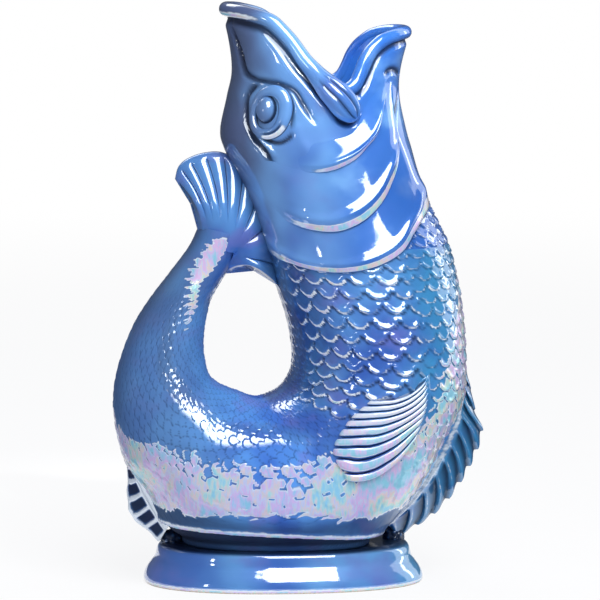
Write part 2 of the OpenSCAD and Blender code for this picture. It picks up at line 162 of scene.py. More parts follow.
# Slices of the fish: the back's and the belly's place along its length and up its height,
# its depth, its squareness, and how much wider the belly side is than the back side
FISH_SHARES = np.array([
    [-0.187, 1.015, 0.400, 1.015, 0.54, 2, 0], [-0.155, 0.940, 0.355, 0.940, 0.58, 2, 0],
    [-0.143, 0.875, 0.328, 0.875, 0.62, 2, 0], [-0.157, 0.825, 0.325, 0.825, 0.66, 2, 0],
    [-0.175, 0.765, 0.343, 0.765, 0.70, 2.1, 0], [-0.165, 0.730, 0.358, 0.730, 0.73, 2.1, 0],
    [-0.128, 0.680, 0.380, 0.680, 0.75, 2.1, 0], [-0.090, 0.620, 0.417, 0.620, 0.78, 2.1, 0],
    [-0.058, 0.555, 0.464, 0.555, 0.82, 2.1, 0.02], [-0.028, 0.485, 0.492, 0.485, 0.87, 2.15, 0.03],
    [0.008, 0.410, 0.508, 0.410, 0.93, 2.2, 0.04], [0.023, 0.352, 0.514, 0.330, 0.97, 2.2, 0.05],
    [0.019, 0.317, 0.504, 0.260, 1, 2.25, 0.05], [0.003, 0.295, 0.455, 0.195, 1, 2.3, 0.06],
    [-0.021, 0.280, 0.403, 0.130, 1, 2.4, 0.08], [-0.048, 0.272, 0.324, 0.055, 0.99, 2.5, 0.1],
    [-0.070, 0.269, 0.207, -0.010, 0.97, 2.5, 0.1], [-0.093, 0.272, 0, -0.027, 0.94, 2.5, 0.1],
    [-0.120, 0.280, -0.193, -0.018, 0.89, 2.4, 0.1], [-0.152, 0.288, -0.325, 0.018, 0.82, 2.3, 0.08],
    [-0.184, 0.299, -0.389, 0.094, 0.74, 2.25, 0.06], [-0.207, 0.315, -0.448, 0.151, 0.66, 2.2, 0.04],
    [-0.218, 0.345, -0.476, 0.228, 0.58, 2.15, 0.02], [-0.221, 0.374, -0.476, 0.292, 0.515, 2.1, 0],
    [-0.215, 0.410, -0.452, 0.355, 0.46, 2.1, 0], [-0.201, 0.448, -0.414, 0.415, 0.40, 2.1, 0],
    [-0.172, 0.482, -0.363, 0.466, 0.36, 2.1, 0], [-0.145, 0.509, -0.314, 0.509, 0.32, 2.1, 0],
    [-0.128, 0.539, -0.262, 0.555, 0.30, 2.1, 0], [-0.117, 0.571, -0.234, 0.589, 0.28, 2.1, 0],
])  # fmt: skip

# The mouth's edge: angle and slice
GAPE_SHARES = np.array([
    [0, 0.96], [12, 0.96], [24, 0.97], [34, 1.00], [42, 1.06], [48, 1.15], [55, 1.38],
    [59, 1.65], [61.5, 2.00], [65, 2.38], [71, 2.60], [80, 2.50], [91, 2.18],
    [104, 1.60], [112.5, 1.13], [120, 0.82], [128, 0.62], [137, 0.54], [146, 0.49],
    [155, 0.46], [163, 0.45], [172, 0.44], [180, 0.44],
])  # fmt: skip

# The plates of the face: angle, slice of the upper edge and slice of the lower edge
JAW_PLATE_SHARES = np.array([
    [36, 2.30, 2.85], [46, 2.60, 3.48], [58, 3.10, 4.30], [71, 3.90, 5.10],
    [85, 4.20, 5.53], [97, 4.40, 5.70], [110, 4.60, 5.65],
])  # fmt: skip
CHEEK_PLATE_SHARES = np.array([
    [30, 2.30, 4.30], [40, 3.00, 5.30], [55, 4.00, 6.12], [70, 4.95, 6.75],
    [88, 5.45, 7.28], [103, 5.60, 7.50], [119, 5.40, 7.45], [132, 5.30, 7.28],
    [141, 5.60, 6.95],
])  # fmt: skip
GILL_COVER_SHARES = np.array([
    [8, 4.10, 6.70], [30, 4.20, 7.05], [40, 5.20, 7.23], [55, 6.02, 7.60],
    [70, 6.65, 8.10], [88, 7.18, 8.45], [103, 7.40, 8.58], [119, 7.35, 8.58],
    [132, 7.18, 8.50], [141, 6.85, 8.42], [152, 6.30, 8.35], [165, 6.00, 8.20],
    [174, 5.90, 7.90],
])  # fmt: skip


@dataclass(frozen=True)
class FishForm:
    """The form of the fish that every piece lies on, as the CAD solids have it."""

    jug_height: float
    foot_height: float
    body_length: float = 145 * MM
    body_width: float = 93 * MM
    wall: float = 4.5 * MM
    middle: float = 6.19 * MM
    least_lean: float = 0.2
    probe_slices: float = 0.05
    probe_angle: float = 1.0

    def plane_point(self, x_share: Array, z_share: Array) -> Array:
        """Give points of the fish's middle plane from their shares.

        Args:
            x_share: shares of the body's length.
            z_share: shares of the fish's height.

        Returns:
            The points.
        """
        fish_height = self.jug_height - self.foot_height
        x = np.asarray(x_share) * self.body_length - self.middle
        z = self.foot_height + np.asarray(z_share) * fish_height
        return np.stack([x, np.zeros_like(x), z], axis=-1)

    def skin(self, slices: Array, angles: Array, above: Array = 0.0) -> Array:
        """Give points of the fish's skin, or above or under it.

        Args:
            slices: slices along the fish.
            angles: angles round it, in degrees.
            above: heights above the skin.

        Returns:
            The points, flattened where the fish rests on its foot.
        """
        slices, angles, above = np.broadcast_arrays(
            np.asarray(slices, float), np.asarray(angles, float), np.asarray(above, float)
        )
        s = smooth_rows(FISH_SHARES, slices)
        back = self.plane_point(s[..., 0], s[..., 1])
        belly = self.plane_point(s[..., 2], s[..., 3])
        reach = lengths(belly - back)
        lean = (belly - back) / reach
        turn = np.radians(angles)
        along = squared(np.cos(turn), s[..., 5])
        aside = squared(np.sin(turn), s[..., 5])
        points = (back + belly) / 2 + ((reach[..., 0] / 2 + above) * along)[..., None] * lean
        lowest = self.foot_height + np.maximum(0, -above)
        low = (points[..., 2] < lowest) & (lean[..., 2] < -self.least_lean)
        slope = np.where(low, lean[..., 2], -1)
        points += np.where(low, (lowest - points[..., 2]) / slope, 0)[..., None] * lean
        half_depth = s[..., 4] * self.body_width / 2 + above
        points[..., 1] += half_depth * aside * (1 + s[..., 6] * along)
        return points

    def facing(self, slices: Array, angles: Array) -> Array:
        """Give the directions that face out of the skin.

        Args:
            slices: slices along the fish.
            angles: angles round it, in degrees.

        Returns:
            Directions with a length of 1.
        """
        step, turn = self.probe_slices, self.probe_angle
        down = self.skin(slices + step, angles) - self.skin(slices - step, angles)
        around = self.skin(slices, angles + turn) - self.skin(slices, angles - turn)
        return unit(np.cross(down, around))


FORM = FishForm(jug_height=CAD_BOX[1][2], foot_height=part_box("foot")[1][2])


class Mask(Enum):
    """A mask on a piece's mesh that its glaze reads."""

    # painted reflections and highlights: lustre turned pale and pastel where the floor and the lamps
    # would show in it; partly a real pearly lustre
    PEARL = "pearl"
    # painted shade: glaze turned navy in creases, gaps, under edges and on shaded sides; in grooves
    # glaze pools too
    POOL = "pool"
    # painted shade: the coat and the mirror taken out and the glaze made rougher, so that no
    # reflection shows
    DULL = "dull"


@dataclass
class Coat:
    """Points of a piece; where painted reflections make its lustre pearly, where painted shade
    darkens its glaze, with glaze pooled in grooves too, and where painted shade takes out its
    reflections.
    """

    points: Array
    pearl: Array | float = 0.0
    pool: Array | float = 0.0
    dull: Array | float = 0.0

    def spread(self, mask: Mask) -> Array:
        """Give a mask with a value for each point."""
        return np.clip(np.broadcast_to(getattr(self, mask.value), len(self.points)), 0, 1)


Place = Callable[[Array, Array], Coat]


class Bench:
    """Starts pieces from Blender's primitives, shapes them and finishes them."""

    sharp: float = math.radians(62)

    @staticmethod
    def deselect() -> None:
        """Leave nothing selected, the CAD nodes included."""
        if bpy.context.object and bpy.context.object.mode != "OBJECT":
            bpy.ops.object.mode_set(mode="OBJECT")
        bpy.ops.object.select_all(action="DESELECT")

    @staticmethod
    def read(piece: Piece) -> Array:
        """Read the places of a piece's vertices.

        Args:
            piece: the piece.

        Returns:
            One row for each vertex.
        """
        flat = np.empty(len(piece.data.vertices) * 3)
        piece.data.vertices.foreach_get("co", flat)
        return flat.reshape(-1, 3)

    @classmethod
    def finish(cls, piece: Piece, name: str, points: Array) -> Piece:
        """Move a piece's vertices, name it, face its skin outwards and smooth its shading.

        Args:
            piece: the piece.
            name: its name.
            points: the places of its vertices.

        Returns:
            The piece.
        """
        piece.data.vertices.foreach_set("co", np.ascontiguousarray(points, float).ravel())
        piece.data.update()
        piece.name = name
        piece.data.name = name
        bpy.context.view_layer.objects.active = piece
        bpy.ops.object.mode_set(mode="EDIT")
        bpy.ops.mesh.select_all(action="SELECT")
        bpy.ops.mesh.normals_make_consistent(inside=False)
        bpy.ops.object.mode_set(mode="OBJECT")
        bpy.ops.object.shade_smooth_by_angle(angle=cls.sharp)
        return piece

    @classmethod
    def _coated(cls, piece: Piece, name: str, coat: Coat) -> Piece:
        """Finish a piece with its points and the masks that the glaze reads.

        Args:
            piece: the piece.
            name: its name.
            coat: its points and masks.

        Returns:
            The piece.
        """
        for mask in Mask:
            attribute = piece.data.attributes.new(mask.value, "FLOAT", "POINT")
            attribute.data.foreach_set("value", np.ascontiguousarray(coat.spread(mask)))
        return cls.finish(piece, name, coat.points)

    @staticmethod
    def _steps(rise_part: Array, run_part: Array, count: int) -> Array:
        """Number points by their turn, in so many steps round."""
        share = np.arctan2(rise_part, run_part) / TURN
        return np.mod(np.rint(share * count).astype(int), count)

    @classmethod
    def ring(cls, name: str, around: int, rows: int, place: Place) -> Piece:
        """Shape a torus into a closed loop of rings, as a tube or a hollow shell.

        Args:
            name: the piece's name.
            around: points round each ring.
            rows: rings, of which the last joins the first.
            place: gives the coat for the numbers of its columns and rows.

        Returns:
            The finished piece.
        """
        cls.deselect()
        bpy.ops.mesh.primitive_torus_add(
            major_segments=around, minor_segments=rows,
            major_radius=2, minor_radius=1, generate_uvs=False,
        )  # fmt: skip
        piece = bpy.context.object
        x, y, z = cls.read(piece).T
        coat = place(cls._steps(y, x, around), cls._steps(z, np.hypot(x, y) - 2, rows))
        return cls._coated(piece, name, coat)

    @classmethod
    def ball(cls, name: str, around: int, rows: int, place: Place) -> Piece:
        """Shape a ball into a closed form that runs from one end to another.

        Args:
            name: the piece's name.
            around: points round each ring.
            rows: rings between the two ends.
            place: gives the coat for the numbers of its columns and rows.

        Returns:
            The finished piece, with the middle of its first and last ring as its ends.
        """
        cls.deselect()
        bpy.ops.mesh.primitive_uv_sphere_add(segments=around, ring_count=rows + 1, radius=1)
        piece = bpy.context.object
        x, y, z = cls.read(piece).T
        row = np.arccos(np.clip(z, -1, 1)) / math.pi * (rows + 1)
        j = np.rint(row).astype(int) - 1
        coat = place(cls._steps(y, x, around), np.clip(j, 0, rows - 1))
        every = np.arange(around)
        for end, ring in ((j < 0, 0), (j >= rows, rows - 1)):
            coat.points[end] = place(every, np.full(around, ring)).points.mean(axis=0)
        return cls._coated(piece, name, coat)

    @classmethod
    def mirrored(cls, piece: Piece, name: str) -> Piece:
        """Copy a piece to the other side of the fish, with a mesh of its own.

        Args:
            piece: the piece on the left.
            name: the copy's name.

        Returns:
            The copy.
        """
        cls.deselect()
        piece.select_set(True)
        bpy.context.view_layer.objects.active = piece
        bpy.ops.object.duplicate(linked=False)
        copy = bpy.context.object
        return cls.finish(copy, name, cls.read(copy) * (1, -1, 1))


class Shade:
    """A shader socket that takes part in Python's arithmetic."""

    def __init__(self, tree: bpy.types.NodeTree, socket: Socket | float) -> None:
        """Wrap a socket, or a plain number, of a tree."""
        self.tree = tree
        self.socket = socket

    @classmethod
    def feed(cls, tree: bpy.types.NodeTree, slot: Socket, value: object) -> None:
        """Link a node's socket to a value that changes, or set it to one that doesn't.

        Args:
            tree: the tree that the socket is in.
            slot: the node's socket.
            value: a Shade, a socket, or a plain number, vector or colour.
        """
        value = value.socket if isinstance(value, cls) else value
        if isinstance(value, Socket):
            tree.links.new(value, slot)
        else:
            slot.default_value = value

    def _maths(self, operation: str, other: "Shade | float") -> "Shade":
        """Add a Math node for an operation on this value and another.

        Args:
            operation: the Math node's operation.
            other: the second value.

        Returns:
            The result.
        """
        node = self.tree.nodes.new("ShaderNodeMath")
        node.operation = operation
        for slot, value in zip(node.inputs, (self, other)):
            self.feed(self.tree, slot, value)
        return Shade(self.tree, node.outputs[0])

    def __add__(self, other: "Shade | float") -> "Shade":
        """Add."""
        return self._maths("ADD", other)

    __radd__ = __add__

    def __mul__(self, other: "Shade | float") -> "Shade":
        """Multiply."""
        return self._maths("MULTIPLY", other)

    __rmul__ = __mul__

    def __sub__(self, other: "Shade | float") -> "Shade":
        """Subtract."""
        return self._maths("SUBTRACT", other)

    def __rsub__(self, other: float) -> "Shade":
        """Subtract this value from a number."""
        return Shade(self.tree, other)._maths("SUBTRACT", self)

    def clamped(self) -> "Shade":
        """Keep the value from 0 to 1."""
        return self._maths("MAXIMUM", 0.0)._maths("MINIMUM", 1.0)

    def step(self, start: float, end: float) -> "Shade":
        """Go smoothly from 0 at start to 1 at end."""
        t = ((self - start)._maths("DIVIDE", end - start)).clamped()
        return t * t * (3 - 2 * t)


def tint(red: int, green: int, blue: int) -> tuple[float, ...]:
    """Turn a screen colour from 0 to 255 into a shader colour."""
    shares = (value / 255 for value in (red, green, blue))
    return (*(s / 12.92 if s <= 0.04045 else ((s + 0.055) / 1.055) ** 2.4 for s in shares), 1.0)


class Kiln:
    """The node tree of a material or of the world, with what every finish needs from it."""

    def __init__(self, owner: bpy.types.Material | bpy.types.World) -> None:
        """Empty the owner's tree.

        Args:
            owner: the material or the world.
        """
        self.owner = owner
        owner.use_nodes = True
        self.tree = owner.node_tree
        self.tree.nodes.clear()

    def add(
        self, kind: str, settings: dict | None = None, output: int | str = 0, **sockets: object
    ) -> Shade:
        """Add a node.

        Args:
            kind: the node's type.
            settings: attributes that are set first; stops fills a ramp.
            output: the output that is wanted.
            sockets: values or links, by socket name with _ for a space, or by at_ and a number.

        Returns:
            The output, or 0 from a node that has none.
        """
        node = self.tree.nodes.new(kind)
        for key, value in (settings or {}).items():
            if key == "stops":
                self._fill_ramp(node.color_ramp, value)
            else:
                setattr(node, key, value)
        for key, value in sockets.items():
            index = int(key[3:]) if key.startswith("at_") else key.replace("_", " ")
            Shade.feed(self.tree, node.inputs[index], value)
        return Shade(self.tree, node.outputs[output] if node.outputs else 0.0)

    @staticmethod
    def _fill_ramp(ramp: bpy.types.ColorRamp, stops: tuple) -> None:
        """Give a ramp its stops.

        Args:
            ramp: the ramp.
            stops: the place and the colour of each stop.
        """
        while len(ramp.elements) < len(stops):
            ramp.elements.new(0.5)
        for element, (place, colour) in zip(ramp.elements, stops):
            element.position = place
            element.color = colour

    def place(self) -> Shade:
        """Give the place on the piece."""
        return self.add("ShaderNodeTexCoord", output="Object")

    def noise(
        self, size: float, detail: float = 2.0, stretch: tuple = (1, 1, 1), turn: tuple = (0, 0, 0)
    ) -> Shade:
        """Give noise from 0 to 1.

        Args:
            size: the rough size of its patches.
            detail: how many finer layers it has.
            stretch: how much denser it is along each axis.
            turn: how far it is turned round each axis.

        Returns:
            The noise.
        """
        place = self.add("ShaderNodeMapping", Vector=self.place(), Rotation=turn, Scale=stretch)
        return self.add("ShaderNodeTexNoise", Vector=place, Scale=1 / size, Detail=detail)

    def mask(self, mask: Mask) -> Shade:
        """Read a mask that was painted on the piece."""
        return self.add("ShaderNodeAttribute", {"attribute_name": mask.value}, "Fac")

    def along(self, axis: int) -> Shade:
        """Give the place along an axis, in metres."""
        return self.add("ShaderNodeSeparateXYZ", output=axis, Vector=self.place())

    def mix(self, share: Shade, first: object, second: object) -> Shade:
        """Mix two colours."""
        sockets = {"at_0": share, "at_6": first, "at_7": second}
        return self.add("ShaderNodeMix", {"data_type": "RGBA"}, 2, **sockets)

    def both(self, share: Shade, first: Shade, second: Shade) -> Shade:
        """Mix two shaders."""
        return self.add("ShaderNodeMixShader", at_0=share, at_1=first, at_2=second)

    def bump(self, strength: float, distance: float, height: Shade) -> Shade:
        """Turn a height into the way that the surface faces."""
        return self.add("ShaderNodeBump", Strength=strength, Distance=distance, Height=height)

    def seen(self) -> Shade:
        """Say whether a ray is the camera's own, or one by a mirror or through glass.

        Returns:
            1 for such a ray, and 0 for any other.
        """
        names = ("Is Camera Ray", "Is Glossy Ray", "Is Transmission Ray")
        camera, mirror, glass = (self.add("ShaderNodeLightPath", output=name) for name in names)
        return (camera + mirror + glass).clamped()

    def end(self, shader: Shade) -> bpy.types.Material | bpy.types.World:
        """Close the owner's tree with its shader."""
        self.add(f"ShaderNodeOutput{type(self.owner).__name__}", Surface=shader)
        return self.owner


@dataclass(frozen=True)
class LustreGlaze:
    """A blue glaze under a thin metal lustre; painted reflections turn the lustre pale and pearly,
    and painted shade darkens the glaze.
    """

    name: str
    deep: tuple = tint(52, 102, 198)
    fresh: tuple = tint(92, 158, 232)
    violet: tuple = tint(120, 120, 208)
    violet_share: float = 0.5
    fresh_from: float = 0.35
    teal: tuple = tint(50, 152, 208)
    # painted shade: the greyer, darker tint toward the rear
    rear: tuple = tint(80, 118, 164)
    # the colour of painted shade
    navy: tuple = tint(12, 22, 50)
    silver: tuple = tint(234, 243, 250)
    rear_from: float = -15 * MM
    rear_to: float = -55 * MM
    rear_share: float = 0.75
    front_from: float = 30 * MM
    front_to: float = 52 * MM
    patch: float = 26 * MM
    metal: float = 0.12
    mirror: float = 0.17
    pearl_mirror: float = 0.92
    wave: float = 7 * MM
    wave_depth: float = 0.6 * MM
    peel: float = 1.2 * MM
    ripple: float = 0.25
    bite: float = 2.6 * MM
    stroke: float = 3 * MM
    drift: float = 14 * MM
    rough: float = 0.4
    dull_rough: float = 0.35
    specular: float = 0.3
    coat_rough: float = 0.015
    coat_ior: float = 1.6
    pastel: float = 0.85
    lustre_rough: float = 0.06
    pearl_rough: float = 0.14
    lustre_coat: float = 0.4
    lustre_coat_rough: float = 0.04
    rainbow: tuple = (
        (0.05, tint(150, 214, 232)), (0.24, tint(190, 206, 238)), (0.38, tint(230, 190, 232)),
        (0.48, tint(204, 218, 240)), (0.60, tint(240, 212, 206)), (0.72, tint(196, 230, 216)),
        (0.90, tint(154, 216, 234)),
    )  # fmt: skip

    def fire(self) -> bpy.types.Material:
        """Build the material.

        Returns:
            The material.
        """
        kiln = Kiln(bpy.data.materials.new(self.name))
        pool, pearl, dull = map(kiln.mask, (Mask.POOL, Mask.PEARL, Mask.DULL))
        # painted shade takes out the coat and the mirror
        bright = 1 - dull
        waves = kiln.noise(self.wave, 1.0) + kiln.noise(self.peel) * 0.04
        bump = kiln.bump(self.ripple, self.wave_depth, waves)
        glaze = kiln.add(
            "ShaderNodeBsdfPrincipled", Base_Color=self._blue(kiln, pool), Metallic=self.metal,
            Roughness=self.rough + dull * self.dull_rough, Specular_IOR_Level=self.specular,
            Coat_Weight=(1 - pool * 0.75) * bright, Coat_Roughness=self.coat_rough,
            Coat_IOR=self.coat_ior, Normal=bump,
        )  # fmt: skip
        # painted reflections: where shown, the lustre turns pale pastel, with less metal and more
        # mirror
        ragged = kiln.noise(self.bite, 2.0, (1, 1, 1.6))
        shown = (pearl * 1.5 + (ragged - 0.5) * 0.9 - 0.25).step(0.0, 0.6)
        lustre = kiln.add(
            "ShaderNodeBsdfPrincipled",
            Base_Color=kiln.mix(pearl.step(0.6, 0.85), self.silver, self._rainbow(kiln)),
            Metallic=1 - self.pastel * shown,
            Roughness=self.lustre_rough + self.pearl_rough * shown,
            Coat_Weight=self.lustre_coat, Coat_Roughness=self.lustre_coat_rough, Normal=bump,
        )  # fmt: skip
        plain = self.mirror * (1 - pool * 0.7) * bright
        share = plain + shown * (self.pearl_mirror - self.mirror)
        return kiln.end(kiln.both(share, glaze, lustre))

    def _blue(self, kiln: Kiln, pool: Shade) -> Shade:
        """Give the glaze's drifting blues, with painted shade: greyer toward the rear, and navy by
        the shade mask.

        Args:
            kiln: the material's tree.
            pool: painted shade, and glaze pooled in grooves.

        Returns:
            The colour.
        """
        broad = kiln.noise(self.patch)
        patchy = kiln.noise(self.patch * 0.6, 3.0, (1.0, 0.7, 1.3))
        blue = kiln.mix(broad.step(self.fresh_from, 0.65), self.deep, self.fresh)
        blue = kiln.mix(patchy.step(0.5, 0.7) * self.violet_share, blue, self.violet)
        across = kiln.along(0) + (broad - 0.5) * 0.03
        front = across.step(self.front_from, self.front_to)
        blue = kiln.mix(front * patchy.step(0.25, 0.55) * 0.85, blue, self.teal)
        # painted shade: greyer and darker toward the rear
        rear = across.step(self.rear_from, self.rear_to) * self.rear_share
        # painted shade: navy where the shade mask is
        return kiln.mix(pool * 0.92, kiln.mix(rear, blue, self.rear), self.navy)

    def _rainbow(self, kiln: Kiln) -> Shade:
        """Give the pastel strokes of the lustre, which colour its painted reflections.

        Args:
            kiln: the material's tree.

        Returns:
            The colour.
        """
        strokes = kiln.noise(self.stroke, 4.0, (2.0, 1.0, 0.6), (0, math.radians(30), 0))
        share = (strokes * 0.4 + kiln.noise(self.drift) * 0.8 - 0.1) * 2.7 - 0.9
        return kiln.add("ShaderNodeValToRGB", {"stops": self.rainbow}, Fac=share.clamped())


@dataclass(frozen=True)
class BareClay:
    """Unglazed fired clay, on the rim that the jug stands on."""

    name: str
    light: tuple = tint(226, 214, 196)
    dark: tuple = tint(186, 170, 150)
    grain: float = 0.9 * MM
    grain_depth: float = 0.15 * MM
    grain_strength: float = 0.4
    rough: float = 0.85

    def fire(self) -> bpy.types.Material:
        """Build the material.

        Returns:
            The material.
        """
        kiln = Kiln(bpy.data.materials.new(self.name))
        speckle = kiln.noise(self.grain, 4.0)
        colour = kiln.mix(speckle.step(0.3, 0.75), self.dark, self.light)
        look = {
            "Base_Color": colour,
            "Roughness": self.rough,
            "Normal": kiln.bump(self.grain_strength, self.grain_depth, speckle),
        }
        return kiln.end(kiln.add("ShaderNodeBsdfPrincipled", **look))


def dress(piece: Piece, finish: bpy.types.Material, slot: str, *nodes: str) -> Piece:
    """Give a piece its finish and its body, and hide the CAD nodes that it stands for.

    Args:
        piece: the piece.
        finish: its material.
        slot: not used.
        nodes: the CAD nodes.

    Returns:
        The piece.
    """
    piece.data.materials.append(finish)
    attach(piece, "root")
    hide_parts(*nodes)
    log.info("%s: %d vertices", piece.name, len(piece.data.vertices))
    return piece


@dataclass(frozen=True)
class ScaleRows:
    """A run of overlapping scales with round tips that point to the tail."""

    per_slice: float
    tighter: float
    columns: float
    height: float
    shoulder: float = 2.2
    root: float = 0.2
    uneven: float = 0.25
    first_slice: float = 8.0

    def relief(self, slices: Array, angles: Array) -> tuple[Array, Array, Array]:
        """Give the scales' height over the skin.

        Args:
            slices: slices along the fish.
            angles: angles folded onto 0 to 180.

        Returns:
            Heights from 0 to the scales' own height, then how far each point is on the
            rolled tip of its scale and in the gap under its neighbours, from 0 to 1.
        """
        start = slices - self.first_slice
        rows = self.per_slice * start - self.tighter * start**2
        columns = self.columns * angles / 180
        best, tip = np.zeros_like(rows), np.zeros_like(rows)
        for back in (0, 1):
            row = np.floor(rows) - back
            along = (rows - row) / 2
            aside = columns - np.mod(row, 2) / 2
            column = np.rint(aside)
            rim = ((aside - column) * 2) ** 2 + np.maximum(0, 2 * along - 1) ** 2
            edge = np.sqrt(np.clip(1 - rim**self.shoulder, 0, 1))
            brim = rise(rim, 0.3, 0.9) * rise(along, 0.5, 0.72)
            chance = np.mod(np.sin(row * 12.99 + column * 78.23) * 437.58, 1)
            face = self.root * rise(along, 0, 0.5) + (1 - self.root) * brim
            dome = face * edge * (1 - self.uneven * chance)
            rolled = rise(rim, 0.52, 0.75) * rise(along, 0.6, 0.8) * (rim < 1)
            tip = np.where(dome > best, rolled * (0.5 + 0.5 * chance), tip)
            line = np.where(rim > 1, rise(rim, 1.45, 1.1) * rise(along, 0.5, 0.7), 0)
            best = np.maximum(best, dome)
        gap = np.maximum(rise(best, self.root * 0.7, 0.02), 0.85 * line)
        return best * self.height, tip, gap


@dataclass
class ScaledSkin:
    """What the body's and the tail's skin carry: scales of three sizes and a pearly band of painted
    reflection.
    """

    chest: ScaleRows = ScaleRows(3.4, 0.19, 12, 1.9 * MM, 5.0, 0.34, 0.15)
    breast: ScaleRows = ScaleRows(3.7, 0.1, 14, 1.4 * MM, 5.0, 0.35, 0.2)
    tail: ScaleRows = ScaleRows(3.3, 0.0, 21, 0.75 * MM, 3.0, 0.5, 0.4)
    tallest: float = 0.8 * MM
    sunk: float = 1.1 * MM
    ledge_height: float = 6.6 * MM
    ledge_lean: float = 0.055
    ledge_width: float = 1.1 * MM
    ledge_depth: float = 1.6 * MM
    undercut: tuple = (-0.4 * MM, -1.6 * MM)
    undercut_over: float = 1 * MM
    scales_over: tuple = (0.5 * MM, 4 * MM)
    sunk_over: float = 2 * MM
    band_top: tuple = (
        (7.4, -20), (8.3, -4), (9.1, 16), (10.0, 33), (10.8, 46), (12.5, 57), (14.2, 82),
        (15.0, 99), (16.0, 102), (17.0, 101), (18.5, 100), (19.9, 89), (21.0, 70),
        (21.6, 32), (22.4, 0),
    )  # fmt: skip
    band_low: tuple = (
        (13.6, 0), (14.9, 36), (15.8, 62), (16.7, 75), (18.0, 69), (19.3, 50), (19.9, 0),
    )  # fmt: skip
    bright_path: tuple = (
        (15.5, 124), (16.6, 129), (18.4, 121), (19.4, 117), (20.8, 116), (22.1, 104),
        (23.2, 90), (24.2, 86),
    )  # fmt: skip
    patch_edges: tuple = (
        (24.1, 114, 114), (24.6, 110, 117), (25.1, 103, 120), (25.7, 92, 108),
        (26.4, 76, 96), (26.9, 62, 104), (27.8, 60, 110), (28.3, 66, 114), (28.8, 96, 98),
    )  # fmt: skip

    def coat(self, slices: Array, angles: Array) -> tuple[Array, Array, Array]:
        """Give the relief and its masks.

        Args:
            slices: slices along the fish.
            angles: angles round it.

        Returns:
            Heights over the bare skin, then the pearly mask of painted reflections and highlights,
            and the mask of painted shade.
        """
        m = half(angles)
        bare = FORM.skin(slices, angles)
        over = bare[:, 2] - FORM.foot_height
        grown = rise(over, *self.scales_over)
        chest = rise(slices, 13.9, 13.3) * rise(m, 66, 72) * rise(m, 158, 146)
        breast = rise(slices, 15.3, 14.6) * rise(m, 72, 66)
        rest = (1 - chest - breast) * (1 - 0.8 * rise(slices, 24, 27.5))
        runs = ((chest, self.chest), (breast, self.breast), (rest, self.tail))
        scales, tip, gap = sum(
            share * np.array(rows.relief(slices, m)) for share, rows in runs
        )
        sunk = self.tallest + (self.sunk - self.tallest) * (chest + breast)
        relief = scales * grown - sunk * rise(slices, 29, 27.5) * rise(over, 0, self.sunk_over)

        # painted reflection of the floor: the pale band
        band = self._band(slices, m, scales / self.tallest)
        # painted highlights on the rolled tips of the scales
        crescents = tip * chest * (0.54 + 0.3 * rise(m, 96, 118)) + tip * breast * 0.55
        parted = np.minimum(1, 1.7 * gap) * breast * rise(slices, 14.6, 12.8)
        # painted highlight: the pale patch on the handle
        patch = 0.9 * self._patch(slices, m)
        pearl = np.maximum(np.maximum(band, patch), crescents * grown) * (1 - parted)

        # painted shade: in the gaps between scales, on the nape, along the keel and below the band
        pool = gap * grown * (0.6 + 0.4 * chest) * (1 - 0.75 * band * (1 - parted))
        nape = 0.62 * rise(m, 110, 146) * rise(slices, 14.5, 12.5) * (1 - tip)
        keel = 0.42 * rise(m, 55, 10) * rise(slices, 20.8, 22.5) * (1 - band)
        low = rise(m, 80, 60) * rise(slices, 14.2, 15.2) * rise(slices, 20.2, 19.6)
        for dark in (nape, keel, 0.72 * low * (1 - band)):
            pool = np.maximum(pool, dark)

        # painted highlight on the ledge's bead, painted shade in the undercut below it
        edge = over - self.ledge_height + self.ledge_lean * bare[:, 0]
        around = rise(slices, 13.8, 14.4) * rise(slices, 20.8, 20.2)
        lip = hump(edge, 0, self.ledge_width) * around
        under = rise(edge, *self.undercut) * rise(over, 0, self.undercut_over) * around
        relief = relief + self.ledge_width * 0.7 * lip - self.ledge_depth * under
        pearl = np.maximum(pearl * (1 - under), 0.9 * lip)
        return relief, pearl, np.maximum(pool * (1 - lip), under)

    def dull(self, slices: Array, angles: Array) -> Array:
        """Give painted shade on both sides of the bright path on the bend, where the reflections are
        taken out.

        Args:
            slices: slices along the fish.
            angles: angles round it, in degrees.

        Returns:
            The mask.
        """
        path = np.array(self.bright_path)
        aside = np.abs(half(angles) - np.interp(slices, path[:, 0], path[:, 1]))
        return rise(aside, 6, 12) * rise(slices, 14.8, 15.8) * rise(slices, 25.5, 24.0)

    def _patch(self, slices: Array, m: Array) -> Array:
        """Give the ragged pearly patch of painted highlight on the handle.

        Args:
            slices: slices along the fish.
            m: angles folded onto 0 to 180.

        Returns:
            The mask.
        """
        edges = np.array(self.patch_edges)
        near, far = (np.interp(slices, edges[:, 0], edges[:, k]) for k in (1, 2))
        bite = np.sin(slices * 17 + m * 0.1) + 0.8 * np.sin(slices * 29 + 1.3)
        bite = bite + 0.5 * np.sin(slices * 53 + m * 0.3) - 0.3
        inside = rise(m + 6 * bite - near, -3, 3)
        inside = inside * rise(m - 3 * np.sin(slices * 23 + 2.0) - far, 3, -3)
        return inside * rise(slices, 24.1, 24.3) * rise(slices, 28.8, 28.5)

    def _band(self, slices: Array, m: Array, dome: Array) -> Array:
        """Give the pale band of painted floor reflection on the low side of the bend, bitten by the
        scales.

        Args:
            slices: slices along the fish.
            m: angles folded onto 0 to 180.
            dome: heights of the scales, against the tallest of the tail.

        Returns:
            The mask.
        """
        top, low = np.array(self.band_top), np.array(self.band_low)
        upper = np.interp(slices, top[:, 0], top[:, 1], right=0)
        lower = np.interp(slices, low[:, 0], low[:, 1], left=0, right=0)
        bite = 14 * (dome - 0.5) - 20 * rise(dome, 0.42, 0.15) + 1
        under = rise(upper + bite - m, -2.0, 2.0)
        over = rise(m - lower + 16 * (dome - 0.5), -2.0, 2.0)
        return under * np.where((slices > low[0, 0]) & (slices < low[-1, 0]), over, 1)


